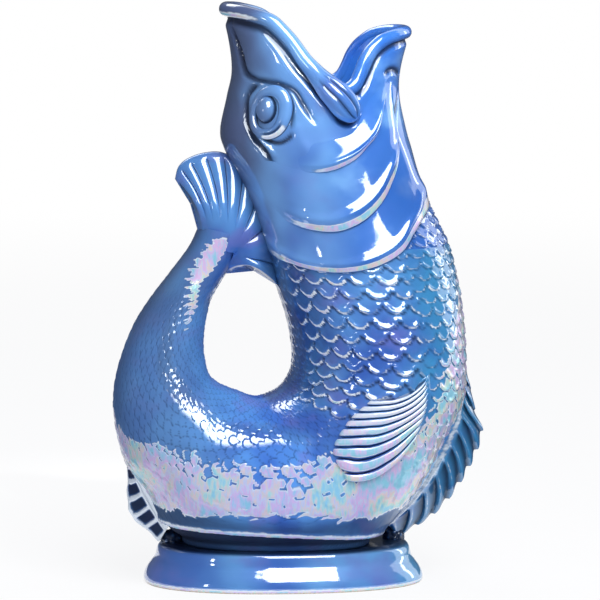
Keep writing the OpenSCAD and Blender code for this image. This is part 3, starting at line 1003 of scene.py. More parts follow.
@dataclass
class Shells:
    """The hollow fish itself: its head, body and tail."""

    scales: ScaledSkin = field(default_factory=ScaledSkin)
    around: int = 450
    body_rows: int = 206
    tail_rows: int = 232
    tail_around: int = 400
    head_around: int = 500
    head_rows: int = 170
    inner_rows: int = 10
    neck: float = 8.0
    bend: float = 16.0
    hollow_end: float = 28.0
    stem: float = 29.0

    @staticmethod
    def _down_and_up(j: Array, outer: int, inner: int) -> tuple[Array, Array]:
        """Say which rows are outside, and run down the outside and up the hollow."""
        out = j < outer
        return out, np.where(out, j / (outer - 1), 1 - (j - outer) / (inner - 1))

    @staticmethod
    def _walled(slices: Array, angle: Array, relief: Array, out: Array) -> Array:
        """Give points of the skin with its relief, or of the hollow where out is false.

        Args:
            slices: slices along the fish.
            angle: angles round it, in degrees.
            relief: heights over the bare skin.
            out: which points are on the outside.

        Returns:
            The points.
        """
        facing = FORM.facing(slices, angle)
        points = FORM.skin(slices, angle) + facing * relief[:, None]
        points[~out] = FORM.skin(slices[~out], angle[~out], -FORM.wall)
        return points

    def _skinned(self, slices: Array, angle: Array, out: Array) -> Coat:
        """Give the scaled skin, or the hollow where out is false.

        Args:
            slices: slices along the fish.
            angle: angles round it, in degrees.
            out: which points are on the outside.

        Returns:
            The coat.
        """
        relief, pearl, pool = self.scales.coat(slices, angle)
        points = self._walled(slices, angle, relief, out)
        points[:, 2] = np.maximum(points[:, 2], FORM.foot_height)
        return Coat(points, pearl * out, pool * out, self.scales.dull(slices, angle))

    def body(self) -> Piece:
        """Make the chest and belly, from the neck down to the foot.

        Returns:
            The piece.
        """
        outer, inner = self.body_rows, self.inner_rows

        def place(i: Array, j: Array) -> Coat:
            """Run down the outside and up the hollow.

            Args:
                i: numbers of columns.
                j: numbers of rows.

            Returns:
                Their coat.
            """
            out, share = self._down_and_up(j, outer, inner)
            slices = self.neck + (self.bend - self.neck) * share
            return self._skinned(slices, i * 360 / self.around, out)

        return Bench.ring("body_skin", self.around, outer + inner, place)

    def tail(self) -> Piece:
        """Make the tail bend and the handle, closed at the top.

        Returns:
            The piece.
        """
        outer, inner = self.tail_rows, self.inner_rows

        def place(i: Array, j: Array) -> Coat:
            """Run from the hollow's end down the hollow and up the outside.

            Args:
                i: numbers of columns.
                j: numbers of rows.

            Returns:
                Their coat.
            """
            out = j >= inner
            inside = self.hollow_end + (self.bend - self.hollow_end) * j / (inner - 1)
            share = np.clip((j - inner) / (outer - 1), 0, 1) ** 1.12
            outside = self.bend + (self.stem - self.bend) * share
            slices = np.where(out, outside, inside)
            return self._skinned(slices, i * 360 / self.tail_around, out)

        return Bench.ball("tail_skin", self.tail_around, outer + inner, place)

    def head(self) -> Piece:
        """Make the head, with its snout panel, its folds and its open mouth.

        Returns:
            The piece.
        """
        outer, inner = self.head_rows, 3 * self.inner_rows
        features = FaceRelief()

        def place(i: Array, j: Array) -> Coat:
            """Run down the outside from the mouth's edge and up the hollow.

            Args:
                i: numbers of columns.
                j: numbers of rows.

            Returns:
                Their coat.
            """
            angle = i * 360 / self.head_around
            out, share = self._down_and_up(j, outer, inner)
            gape = look_up(GAPE_SHARES, half(angle), 1, 400)
            slices = gape + (self.neck - gape) * share
            relief, pool = features.relief(slices, angle, out)
            below = slices - look_up(GILL_COVER_SHARES, half(angle), 2)
            collar = rise(below, -0.02, 0.12)
            scaled, pearl, gap = self.scales.coat(slices, angle)
            relief = relief * (1 - collar) + scaled * collar
            pool = pool * (1 - collar) + gap * collar
            points = self._walled(slices, angle, relief, out)
            return Coat(points, pearl * collar * out, pool * out)

        return Bench.ring("head_skin", self.head_around, outer + inner, place)


@dataclass(frozen=True)
class Crease:
    """A modelled line on the skin: a groove, a ridge, or a step from one side to the other."""

    places: tuple[tuple[float, float], ...]
    width: float
    depth: float
    step: float = 0.0
    step_reach: float = 3 * MM
    offset: float = 0.0
    tapered: bool = True
    at_once: int = 4000

    def relief(self, points: Array, facing: Array, out: Array) -> tuple[Array, Array]:
        """Give the line's relief at points of the skin.

        Args:
            points: points of the bare skin, all on the fish's left side.
            facing: the way the skin faces there.
            out: which points are on the outside.

        Returns:
            Heights, below zero in a groove or on a step's low side, and the groove's mask.
        """
        dense = dense_rows(self.places, 100)
        line = FORM.skin(dense[:, 0], dense[:, 1])
        way = np.gradient(line, axis=0)
        height, mask = np.zeros(len(points)), np.zeros(len(points))
        reach = max(self.width * 3 + self.offset, self.step_reach * 2.5 * (self.step != 0))
        low, high = line.min(axis=0) - reach, line.max(axis=0) + reach
        near = np.flatnonzero(np.all((points > low) & (points < high), axis=1) & out)
        for part in np.array_split(near, max(1, len(near) // self.at_once)):
            if not len(part):
                continue
            every = np.arange(len(part))
            gap = points[part][:, None, :] - line[None]
            distance = np.linalg.norm(gap, axis=-1)
            nearest = distance.argmin(axis=1)
            at = distance[every, nearest]
            ends = np.minimum(nearest, len(line) - 1 - nearest) / (len(line) - 1)
            taper = rise(ends, 0, 0.2) if self.tapered else 1.0
            turned = np.cross(facing[part], way[nearest])
            side = np.sign(np.einsum("ij,ij->i", turned, gap[every, nearest]))
            groove = hump(at, self.offset, self.width) * taper
            low_side = rise(at * side, self.width, -self.width)
            fall = self.step * low_side * hump(at, 0, self.step_reach) * taper
            height[part] = -self.depth * groove - fall
            mask[part] = np.minimum(1, 1.35 * groove) if self.depth > 0 else 0.0
        return height, mask


# The lines of the face, by slice and angle, with their width and depth
CREASES = (
    Crease(
        ((0.53, 167), (0.85, 165), (1.48, 159.5), (1.98, 154.5), (2.22, 143), (2.3, 130),
         (2.4, 119), (2.62, 109), (3.08, 102), (3.43, 96.5), (3.75, 92)),
        1.1 * MM, 1.3 * MM, 1.3 * MM, 5 * MM,
    ),
    Crease(
        ((2.35, 131), (2.5, 141), (2.93, 146.5), (3.55, 143), (3.95, 137), (4.67, 130.5),
         (5.2, 127.5), (5.6, 126)),
        1.5 * MM, 2.2 * MM,
    ),
    Crease(
        ((3.65, 135.5), (3.95, 131.5), (4.3, 127.5), (4.8, 123.5), (5.2, 121.5)),
        1.0 * MM, -1.2 * MM,
    ),
    Crease(
        ((3.75, 130), (4.05, 126), (4.35, 121), (4.4, 115.5), (4.15, 109.5), (3.85, 106.5)),
        0.9 * MM, 1.4 * MM,
    ),
    Crease(
        ((2.45, 129), (2.5, 119), (2.85, 111.5), (3.4, 108), (3.9, 108.5)),
        0.8 * MM, 0.8 * MM,
    ),
    Crease(((3.55, 107), (4.0, 104), (4.6, 102), (5.2, 100)), 2.6 * MM, -0.4 * MM),
    Crease(
        ((2.6, 12), (3.08, 18), (3.6, 32.5), (4.3, 39), (5.3, 40.5), (6.3, 46), (6.9, 49)),
        1.1 * MM, 1.0 * MM,
    ),
    Crease(((2.1, 42), (1.95, 34), (2.0, 24), (2.2, 10)), 1.3 * MM, 0.8 * MM),
    Crease(
        ((0.44, 180), (0.46, 155), (0.54, 137), (0.62, 128), (0.82, 120), (1.13, 112.5),
         (1.6, 104), (1.92, 97), (2.22, 91), (2.55, 85), (2.83, 80), (3.1, 76), (3.32, 73)),
        1.8 * MM, 1.8 * MM, offset=4.1 * MM, tapered=False,
    ),
    Crease(
        ((0.96, 0), (0.97, 24), (1.06, 42), (1.38, 55), (2.0, 61.5), (2.38, 65), (2.6, 71)),
        1.2 * MM, 1.3 * MM, offset=3.4 * MM, tapered=False,
    ),
)  # fmt: skip


@dataclass
class FaceRelief:
    """The lines of the face: the snout's panel, the curl round the eye and the folds."""

    creases: tuple[Crease, ...] = CREASES
    seam: float = 0.7 * MM

    def relief(self, slices: Array, angles: Array, out: Array) -> tuple[Array, Array]:
        """Give the face's relief at points of the head.

        Args:
            slices: slices along the fish.
            angles: angles round it.
            out: which points are on the outside.

        Returns:
            Heights over the bare skin, and the mask that darkens the glaze: painted shade in the
            grooves, where glaze pools too, and under the plates' lower edges, and a darker top of the
            head.
        """
        m = half(angles)
        points, facing = FORM.skin(slices, m), FORM.facing(slices, m)
        # darker along the top of the head
        height, pool = np.zeros(len(slices)), 0.4 * rise(m, 146, 172)
        for crease in self.creases:
            relief, mask = crease.relief(points, facing, out)
            height += relief
            # painted shade in the grooves, where glaze pools too
            pool = np.maximum(pool, mask * 0.95)
        for table in (JAW_PLATE_SHARES, CHEEK_PLATE_SHARES, GILL_COVER_SHARES):
            first, last = table[0, 0], table[-1, 0]
            ends = rise(m, first, first + 10) * rise(m, last, last - 12)
            below = slices - look_up(table, m, 2)
            # painted shade under the plates' lower edges
            pool = np.maximum(pool, hump(below, 0.03, 0.1) * ends)
            height -= self.seam * hump(below, 0.04, 0.1) * ends
        return height, pool


@dataclass
class Lips:
    """The rolled edges of both jaws; the upper one ends in a knob on each cheek."""

    upper_roll: float = 0.65 * MM
    lower_roll: float = 0.4 * MM
    knob_radius: float = 5.9 * MM
    sides: int = 48
    stations: int = 300
    groove: float = 1.2 * MM
    upper_shares: tuple = (
        (180, 0.44, 0, 1), (163, 0.45, 0, 1), (146, 0.49, 0, 1), (128, 0.62, 0, 1),
        (120, 0.82, 0, 1), (112.5, 1.13, 0, 1), (104, 1.60, 0.1, 1), (97, 1.92, 0.25, 1),
        (91, 2.22, 0.5, 1), (85, 2.55, 0.85, 1), (80, 2.83, 1, 1), (76, 3.10, 1, 1),
        (73, 3.32, 1, 0.85), (71, 3.48, 1, 0.55), (70, 3.55, 1, 0.2),
    )  # fmt: skip
    lower_shares: tuple = (
        *((angle, at, 0, 1) for angle, at in GAPE_SHARES[:11]),
        (77, 2.55, 0, 0.95),
        (82, 2.47, 0, 0.9),
    )

    def upper(self) -> Piece:
        """Make the upper lip with its two knobs."""
        return self._tube("upper_lip_roll", self.upper_shares, self.upper_roll, True)

    def lower(self) -> Piece:
        """Make the lower lip."""
        return self._tube("lower_lip_roll", self.lower_shares, self.lower_roll, False)

    def _tube(self, name: str, shares: tuple, roll: float, knobbed: bool) -> Piece:
        """Make a tube from right to left along the mouth's edge.

        Args:
            name: the piece's name.
            shares: angle, slice, share of the way to the knob, and share of the radius.
            roll: how far the lip stands out from each face of the wall.
            knobbed: whether the ends carry the knob's grooves.

        Returns:
            The lip.
        """
        left = np.array(shares, float)
        right = left[:0:-1].copy()
        right[:, 0] = (360 if left[0, 0] > 90 else 0) - right[:, 0]
        angle, slices, knob, size = dense_rows(np.vstack([right, left]), self.stations).T
        thin = FORM.wall / 2 + roll
        above = -FORM.wall / 2 + (self.knob_radius - FORM.wall / 4) * knob
        radius = (thin + (self.knob_radius - thin) * knob) * size
        middle = FORM.skin(slices, angle, above)
        way = unit(np.gradient(middle, axis=0))
        side = unit(np.cross(way, FORM.facing(slices, angle)))
        up = np.cross(side, way)
        behind = rise(np.abs(angle - 180), 56, 32)

        def place(i: Array, j: Array) -> Coat:
            """Put a ring round each stop, with two furrows on the outside of a knob, painted shade in
            them and a painted reflection under the upper lip.

            Args:
                i: numbers of columns.
                j: numbers of rows.

            Returns:
                Their coat.
            """
            turn = i * TURN / self.sides
            turn = np.where(turn > math.pi, turn - TURN, turn)
            # painted reflection along the underside of the upper lip
            strip = knobbed * hump(turn, -0.35, 0.45) * behind[j]
            spread = 0.42 * rise(size[j], 0.1, 0.9)
            # furrows on the knob, with painted shade in them
            furrow = knobbed * hump(np.abs(turn), spread, 0.13)
            furrow = furrow * rise(knob[j], 0.35, 0.95) * rise(size[j], 0.3, 0.7)
            reach = (radius[j] - self.groove * furrow)[:, None]
            ring = np.cos(turn)[:, None] * up[j] + np.sin(turn)[:, None] * side[j]
            return Coat(middle[j] + reach * ring, 0.85 * strip, furrow * 0.9)

        return Bench.ball(name, self.sides, self.stations, place)


@dataclass
class Eyes:
    """The bulging eyes and the raised rings round them."""

    radius: float = 5 * MM
    ring_height: float = 2.2 * MM
    ring_thin: float = 1.7 * MM
    ring_wide: float = 2.9 * MM
    furrow: float = 0.9 * MM
    angle: float = 125.0
    at_slice: float = 3.28
    half_angle: float = 11.5
    half_slices: float = 0.68
    sunk_share: float = 0.22
    ball_wide: float = 0.9
    ball_tall: float = 1.16
    points: int = 48
    ring_sides: int = 32
    ring_around: int = 120

    def ball(self) -> Piece:
        """Make the left eyeball, a little taller than it is wide.

        Returns:
            The piece.
        """
        middle = FORM.skin(self.at_slice, self.angle + 1.5, -self.sunk_share * self.radius)
        out = FORM.facing(np.array(self.at_slice), np.array(self.angle))
        aside = unit(np.cross(out, (0, 0, 1)))
        up = np.cross(aside, out)

        def place(i: Array, j: Array) -> Coat:
            """Shape the ball by its distance from the middle of the eye.

            Args:
                i: numbers of columns.
                j: numbers of rows.

            Returns:
                Their coat.
            """
            polar = ((j + 0.5) * math.pi / self.points)[:, None]
            turn = (i * TURN / self.points)[:, None]
            across = self.ball_wide * np.cos(turn) * aside + self.ball_tall * np.sin(turn) * up
            reach = np.cos(polar) * out + np.sin(polar) * across
            # painted shade round the rim of the ball
            return Coat(middle + self.radius * reach, 0.0, rise(polar[:, 0], 0.85, 1.15))

        return Bench.ball("left_eyeball", self.points, self.points, place)

    def ring(self) -> Piece:
        """Make the ring round the left eye, broader on the mouth's side.

        Returns:
            The piece.
        """
        turn = np.arange(self.ring_around) * TURN / self.ring_around
        slices = self.at_slice + 0.04 + self.half_slices * np.sin(turn)
        angles = self.angle - 1 + self.half_angle * np.cos(turn)
        middle = FORM.skin(slices, angles, self.ring_height * 0.1)
        up = FORM.facing(slices, angles)
        way = unit(np.roll(middle, -1, axis=0) - np.roll(middle, 1, axis=0))
        side = unit(np.cross(way, up))
        broad = (1 - np.cos(turn)) / 2 * (1 - 0.25 * np.sin(turn))
        wide = self.ring_thin + (self.ring_wide - self.ring_thin) * np.clip(broad, 0, 1)

        def place(i: Array, j: Array) -> Coat:
            """Put a flattened ring of the roll at each stop, with a painted highlight in the cup
            below and painted shade under the roll.

            Args:
                i: numbers of columns.
                j: numbers of rows.

            Returns:
                Their coat.
            """
            roll = j * TURN / self.ring_sides
            cup = rise(turn[i], 1.3, 1.6) * rise(turn[i], 2.8, 2.4)
            furrow = cup * hump(np.sin(roll), -0.05, 0.22) * (np.cos(roll) > 0)
            tall = (self.ring_height * np.cos(roll) - self.furrow * furrow)[:, None] * up[i]
            across = (wide[i] * np.sin(roll))[:, None] * side[i]
            # painted shade under the roll and in the cup's furrow, painted highlight in the cup
            low = rise(np.cos(roll), 0.5, 0.1)
            outer = rise(-np.sin(roll), 0.15, 0.4) * (1 - low)
            return Coat(middle[i] + tall + across, 0.7 * cup * outer, np.maximum(low, furrow))

        return Bench.ring("left_eye_rim", self.ring_around, self.ring_sides, place)


@dataclass(frozen=True)
class FacePlate:
    """A plate that grows out of the cheek and ends in a rolled lower edge."""

    name: str
    shares: Array
    height: float
    first_taper: float
    last_taper: float
    stations: int = 170
    bright_from: float = -1.0
    points: int = 96
    skim: float = 0.04 * MM
    brow: float = 0.81
    bead: float = 0.34
    tooth: float = 1.4 * MM
    teeth_apart: float = 1.3 * MM
    teeth_soft: float = 1 * MM

    def make(self) -> Piece:
        """Make the plate on the fish's left.

        Returns:
            The piece.
        """
        first, last = self.shares[0][0], self.shares[-1][0]
        half_points = self.points * 3 // 4

        def place(i: Array, j: Array) -> Coat:
            """Run down the plate's face and back up behind it.

            Args:
                i: numbers of columns.
                j: numbers of rows.

            Returns:
                Their coat.
            """
            share = j / (self.stations - 1)
            angle = first + (last - first) * share
            top, low = (look_up(self.shares, angle, column) for column in (1, 2))
            face = i < half_points
            back = (self.points - 1 - i) / (self.points - 1 - half_points)
            down = np.where(face, i / (half_points - 1), np.clip(back, 0, 1))
            down = 1 - (1 - down) ** 1.7
            slices = top + (low - top) * down
            ends = rise(share, 0, self.first_taper) * rise(share, 1, 1 - self.last_taper)
            roll = np.clip((down - self.brow) / (1 - self.brow), 0, 1)
            swell = np.clip(down / self.brow, 0, 1) ** 1.25 * np.sqrt(1 - 0.92 * roll**2)
            bead = self.bead * hump(down, self.brow, 0.075) * np.sqrt(1 - roll**2)
            above = self.height * (swell + bead) * ends - self.skim
            front = FORM.skin(slices, angle) + FORM.facing(slices, angle) * above[:, None]
            behind = FORM.skin(slices, angle, -FORM.wall / 2)
            points = np.where(face[:, None], front, behind)
            # painted reflection on the under-bevel, painted shade at the seam
            under = rise(roll, 0.3, 0.55) * rise(roll, 0.97, 0.86) * ends
            seam = rise(roll, 0.93, 1) * ends
            # painted shade: left of bright_from the reflections are taken out and the glaze darkened,
            # along a wavy edge
            wavy = self.bright_from - self.tooth * np.sin(points[:, 2] / self.teeth_apart)
            dull = rise(points[:, 0] - wavy, self.teeth_soft, -self.teeth_soft)
            return Coat(points, under * 0.9 * face, np.maximum(seam, 0.25 * dull) * face, dull)

        return Bench.ball(self.name, self.points, self.stations, place)


@dataclass
class PectoralFin:
    """A ribbed fin that lies on the flank."""

    height: float = 2.3 * MM
    furrow: float = 1.9 * MM
    rays: int = 9
    ray_steps: int = 16
    ray_points: int = 64
    root_shares: tuple = ((67, 11.1), (66, 11.5), (64, 12.1), (63, 12.8))
    bend_shares: tuple = ((84, 12.1), (83, 12.7), (80, 13.6), (68, 14.6))
    tip_shares: tuple = ((99, 12.2), (104, 13.3), (100, 14.7), (86, 15.3))
    rise_shares: tuple = (
        (0, 0.05), (0.12, 0.6), (0.4, 0.9), (0.75, 0.85), (0.92, 0.75), (0.98, 0.5), (1, 0.1),
    )  # fmt: skip

    def make(self) -> Piece:
        """Make the fin on the fish's left.

        Returns:
            The piece.
        """
        stations = self.rays * self.ray_steps + 1
        tables = [np.array(t, float) for t in (self.root_shares, self.bend_shares, self.tip_shares)]
        lift = np.array(self.rise_shares)

        def place(i: Array, j: Array) -> Coat:
            """Run out along a ray and back behind it.

            Args:
                i: numbers of columns.
                j: numbers of rows.

            Returns:
                Their coat.
            """
            share = j / (stations - 1)
            stops = (smooth_rows(table, share * (len(table) - 1)) for table in tables)
            face, out = over_edge(i, self.ray_points)
            across = across_ray(share, self.rays)
            angle, slices = bent(*stops, out * (1 - 0.07 * across**4)).T
            ray = np.sqrt(np.clip(1 - across**2, 0, 1))
            ribbed = rise(out, 0.02, 0.14)
            tall = np.interp(out, lift[:, 0], lift[:, 1])
            above = (self.height - self.furrow * (1 - ray) * ribbed) * tall
            above = np.where(face, above, -FORM.wall / 2)
            points = FORM.skin(slices, angle) + FORM.facing(slices, angle) * above[:, None]
            # painted highlights on the rays, painted shade in the furrows
            pearl = rise(ray, 0.62, 0.9) * (0.6 + 0.3 * share) * rise(out, 0.0, 0.2)
            return Coat(points, pearl * face, rise(ray, 0.8, 0.3) * ribbed * face)

        return Bench.ball("left_pectoral_rays", self.ray_points, stations, place)


@dataclass
class KeelFin:
    """A pleated fin in the fish's middle plane, with a scaly knot at its foot."""

    name: str
    shares: tuple
    height: float
    rays: int
    sweep: float
    pockets: bool
    knot: tuple[float, float, float]
    knot_size: tuple[float, float, float]
    width: float = 18 * MM
    pleat: float = 1.2 * MM
    hem: float = 0.5 * MM
    thinnest: float = 0.15 * MM
    clearance: float = 0.2 * MM
    steps: int = 22
    points: int = 80
    web: tuple = ((0, 1), (0.22, 0.74), (0.3, 0.66), (0.6, 0.46), (0.88, 0.28), (1, 0.06))
    scallop: float = 0.1
    knot_around: int = 60
    knot_rows: int = 40
    bump_share: float = 0.14

    def make(self) -> Piece:
        """Make the fin.

        Returns:
            The piece.
        """
        table = np.array(self.shares, float)
        first, last = table[0, 0], table[-1, 0]
        web = np.array(self.web, float)
        stations = self.rays * self.steps + 1
        sunk = FORM.wall / 2

        def place(i: Array, j: Array) -> Coat:
            """Run out on the left and back on the right of each station.

            Args:
                i: numbers of columns.
                j: numbers of rows.

            Returns:
                Their coat.
            """
            share = j / (stations - 1)
            left, out = over_edge(i, self.points)
            swept = self.sweep * np.sqrt(np.clip(4 * share * (1 - share), 0, 1))
            slices = first + (last - first) * share + swept * (out**1.4 - 0.35)
            slices = np.clip(slices, first, last)
            tall, pearl, pool = self._ray(across_ray(share, self.rays), out)
            edge = np.minimum(look_up(table, slices, 1), 1)
            notch = self.scallop * (1 - tall) * rise(out, 0.3, 1)
            above = out * (edge * self.height * (1 - notch) + sunk) - sunk
            thick = np.interp(out, web[:, 0], web[:, 1])
            leafy = rise(out, 0.28, 0.4)
            pleat = self.pleat * (tall - 1) * leafy * np.minimum(1, thick * 2.2)
            half_width = thick * self.width / 2 + pleat + self.hem * hump(out, 0.28, 0.05)
            points = FORM.skin(slices, 0.0, above)
            points[:, 1] += np.where(left, 1, -1) * np.maximum(half_width, self.thinnest)
            points[:, 2] = np.maximum(points[:, 2], FORM.foot_height + self.clearance)
            # in the pockets, painted shade also takes out the reflections
            return Coat(points, pearl, pool, pool * self.pockets)

        return Bench.ball(self.name + "_pleats", self.points, stations, place)

    def _ray(self, across: Array, out: Array) -> tuple[Array, Array, Array]:
        """Shape one ray of the fin.

        Args:
            across: the place across the ray, from -1 to 1.
            out: the share of the way out to the fin's edge.

        Returns:
            How high the face stands, then its painted highlights and its painted shade.
        """
        if self.pockets:
            # painted shade in the pockets, painted highlights on the ribs
            pocket = rise(np.abs(across), 0.85, 0.5) * rise(out, 0.97, 0.88)
            pocket = pocket * rise(out, 0.3, 0.38)
            return 1 - pocket, 0.62 * (1 - pocket), pocket
        leafy = rise(out, 0.3, 0.44)
        tall = rise(across, -1.0, 0.6) * rise(across, 1.0, 0.78)
        # painted highlight on each pleat's crest, a pale pearly band at the root, painted shade on
        # the pleat's low side
        crest = hump(across, 0.5, 0.13) * leafy * rise(out, 0.95, 0.7)
        dark = (0.35 + 0.6 * (1 - tall)) * leafy * (1 - crest)
        return tall, np.maximum(0.5 * hump(out, 0.24, 0.1), 0.36 * crest), dark

    def tuft(self) -> Piece:
        """Make the scaly knot where the fin's end meets the foot.

        Returns:
            The piece.
        """

        def place(i: Array, j: Array) -> Coat:
            """Put overlapping bumps on a squat ball.

            Args:
                i: numbers of columns.
                j: numbers of rows.

            Returns:
                Their coat.
            """
            polar = (j + 0.5) * math.pi / self.knot_rows
            turn = i * TURN / self.knot_around
            bump = np.abs(np.sin(polar * 5) * np.cos(turn * 4 + np.floor(polar * 5 / math.pi)))
            reach = (1 - self.bump_share * (1 - np.sqrt(bump)))[:, None]
            ball = [np.cos(polar), np.sin(polar) * np.cos(turn), np.sin(polar) * np.sin(turn)]
            points = np.stack(ball, axis=-1) * reach * self.knot_size + self.knot
            # painted shade over the knot, lighter on the tops of its bumps
            return Coat(points, 0.0, 1 - 0.5 * rise(bump, 0.7, 1.0))

        return Bench.ball(self.name + "_knot", self.knot_around, self.knot_rows, place)


@dataclass
class TailFin:
    """The ribbed fan at the tail's top, which joins the handle to the neck."""

    width: float = 25 * MM
    ray_height: float = 1.6 * MM
    rays: int = 9
    steps: int = 16
    points: int = 96
    rounded: float = 0.85
    shares: tuple = (
        (-0.228, 0.552, -0.228, 0.630, -0.302, 0.674, 0.24),
        (-0.214, 0.552, -0.214, 0.640, -0.292, 0.697, 0.24),
        (-0.200, 0.550, -0.195, 0.640, -0.265, 0.712, 0.26),
        (-0.186, 0.548, -0.172, 0.640, -0.220, 0.722, 0.3),
        (-0.172, 0.546, -0.152, 0.630, -0.168, 0.722, 0.36),
        (-0.158, 0.543, -0.130, 0.610, -0.112, 0.700, 0.46),
        (-0.148, 0.542, -0.108, 0.590, -0.070, 0.650, 0.58),
        (-0.146, 0.538, -0.100, 0.568, -0.038, 0.590, 0.7),
        (-0.148, 0.532, -0.105, 0.536, -0.020, 0.515, 0.76),
        (-0.166, 0.500, -0.108, 0.545, -0.014, 0.474, 0.80),
    )

    def make(self) -> Piece:
        """Make the fan.

        Returns:
            The piece.
        """
        table = np.array(self.shares, float)
        stations = self.rays * self.steps + 1

        def place(i: Array, j: Array) -> Coat:
            """Run out on the left and back on the right of each station.

            Args:
                i: numbers of columns.
                j: numbers of rows.

            Returns:
                Their coat.
            """
            share = j / (stations - 1)
            s = smooth_rows(table, share * (len(table) - 1))
            left, out = over_edge(i, self.points)
            out = 1 - (1 - out) ** 1.4
            stops = (FORM.plane_point(s[:, k], s[:, k + 1]) for k in (0, 2, 4))
            points = bent(*stops, out)
            ray = np.sqrt(np.clip(1 - across_ray(share, self.rays) ** 2, 0, 1))
            ribbed = rise(out, 0.25, 0.6) * rise(out, 0.97, 0.9)
            thinned = (1 - (1 - s[:, 6]) * rise(out, 0.3, 1.1)) * np.sqrt(1 - 0.9 * out**18)
            oval = np.sqrt(1 - self.rounded * (2 * share - 1) ** 2)
            thinned = thinned * (1 - (1 - oval) * rise(out, 0.7, 0.0))
            thick = self.width / 2 * thinned - self.ray_height * (1 - ray) * ribbed
            points[:, 1] += np.where(left, 1, -1) * thick
            # painted shade in the grooves and over the fan's part near the neck
            groove = rise(ray, 0.6, 0.1) * ribbed
            shaded = 0.6 * rise(out, 0.5, 0.85) * rise(share, 0.5, 0.7)
            return Coat(points, 0.0, np.maximum(groove * 0.8, shaded))

        return Bench.ball("tail_fan", self.points, stations, place)


@dataclass
class Foot:
    """The oval moulded plinth, glazed to its bare rim."""

    length: float = 113.4 * MM
    width: float = 82 * MM
    waist_length: float = 95 * MM
    waist_width: float = 68 * MM
    rim: float = 7 * MM
    recess: float = 3 * MM
    ceiling: float = 18 * MM
    chamfer: float = 0.3 * MM
    sole: float = 1 * MM
    top_rows: tuple = (2 * MM, 20 * MM)
    hem: tuple = (2.2 * MM, 0.8 * MM)
    squareness: float = 2.3
    around: int = 320
    outer_rows: int = 122
    shares: tuple = (
        (0, 0.94), (0.03, 0.985), (0.07, 1), (0.14, 0.995), (0.22, 0.96), (0.3, 0.9),
        (0.38, 0.82), (0.45, 0.73), (0.52, 0.64), (0.58, 0.56), (0.64, 0.5), (0.7, 0.465),
        (0.76, 0.445), (0.82, 0.42), (0.88, 0.38), (0.93, 0.31), (0.97, 0.18), (1, -0.02),
    )  # fmt: skip

    def make(self, clay: bpy.types.Material) -> Piece:
        """Make the foot.

        Args:
            clay: the finish of its underside.

        Returns:
            The foot, which still lacks its glaze.
        """
        base = self.shares[0][1]
        outer = dense_rows(self.shares, self.outer_rows)
        under = (
            (self.rim + self.ceiling, self.recess), (self.rim + self.recess * 1.2, self.recess),
            (self.rim + self.recess / 2, self.recess * 0.9),
            (self.rim + self.chamfer / 1.5, self.chamfer), (self.rim, 0.0), (self.sole, 0.0),
        )  # fmt: skip
        rows = np.array(
            [(base, inset, z) for inset, z in under]
            + [(s, 0.0, min(max(z, 0), 1) * FORM.foot_height) for z, s in outer]
            + [(0.0, inset, FORM.foot_height) for inset in self.top_rows]
        )

        def place(i: Array, j: Array) -> Coat:
            """Put an oval ring at each row of the profile.

            Args:
                i: numbers of columns.
                j: numbers of rows.

            Returns:
                Their coat.
            """
            out, inset, z = rows[j].T
            turn = i * TURN / self.around
            half_l = (self.waist_length + (self.length - self.waist_length) * out) / 2 - inset
            half_w = (self.waist_width + (self.width - self.waist_width) * out) / 2 - inset
            x = half_l * squared(np.cos(turn), self.squareness) - FORM.middle
            y = half_w * squared(np.sin(turn), self.squareness)
            # painted shade at the top of the foot, painted reflection as a pale band along its lowest
            # edge
            shade = rise(z / FORM.foot_height, 0.88, 0.98)
            hem = 0.8 * rise(z, *self.hem)
            return Coat(np.stack([x, y, z], axis=-1), hem, shade)

        piece = Bench.ball("foot_plinth", self.around, len(rows), place)
        piece.data.materials.append(clay)
        return piece

    def glaze(self, piece: Piece) -> None:
        """Give the glaze to every face that doesn't look down at the table.

        Args:
            piece: the foot.
        """
        for face in piece.data.polygons:
            hidden = face.center.z < self.recess * 1.05 and face.normal.z < -0.5
            face.material_index = 0 if hidden else 1


@dataclass(frozen=True)
class Lamp:
    """A soft box round the jug: its bearing and height in degrees, its size and its glow."""

    name: str
    bearing: float
    height: float
    away: float
    width: float
    tall: float
    glow: float


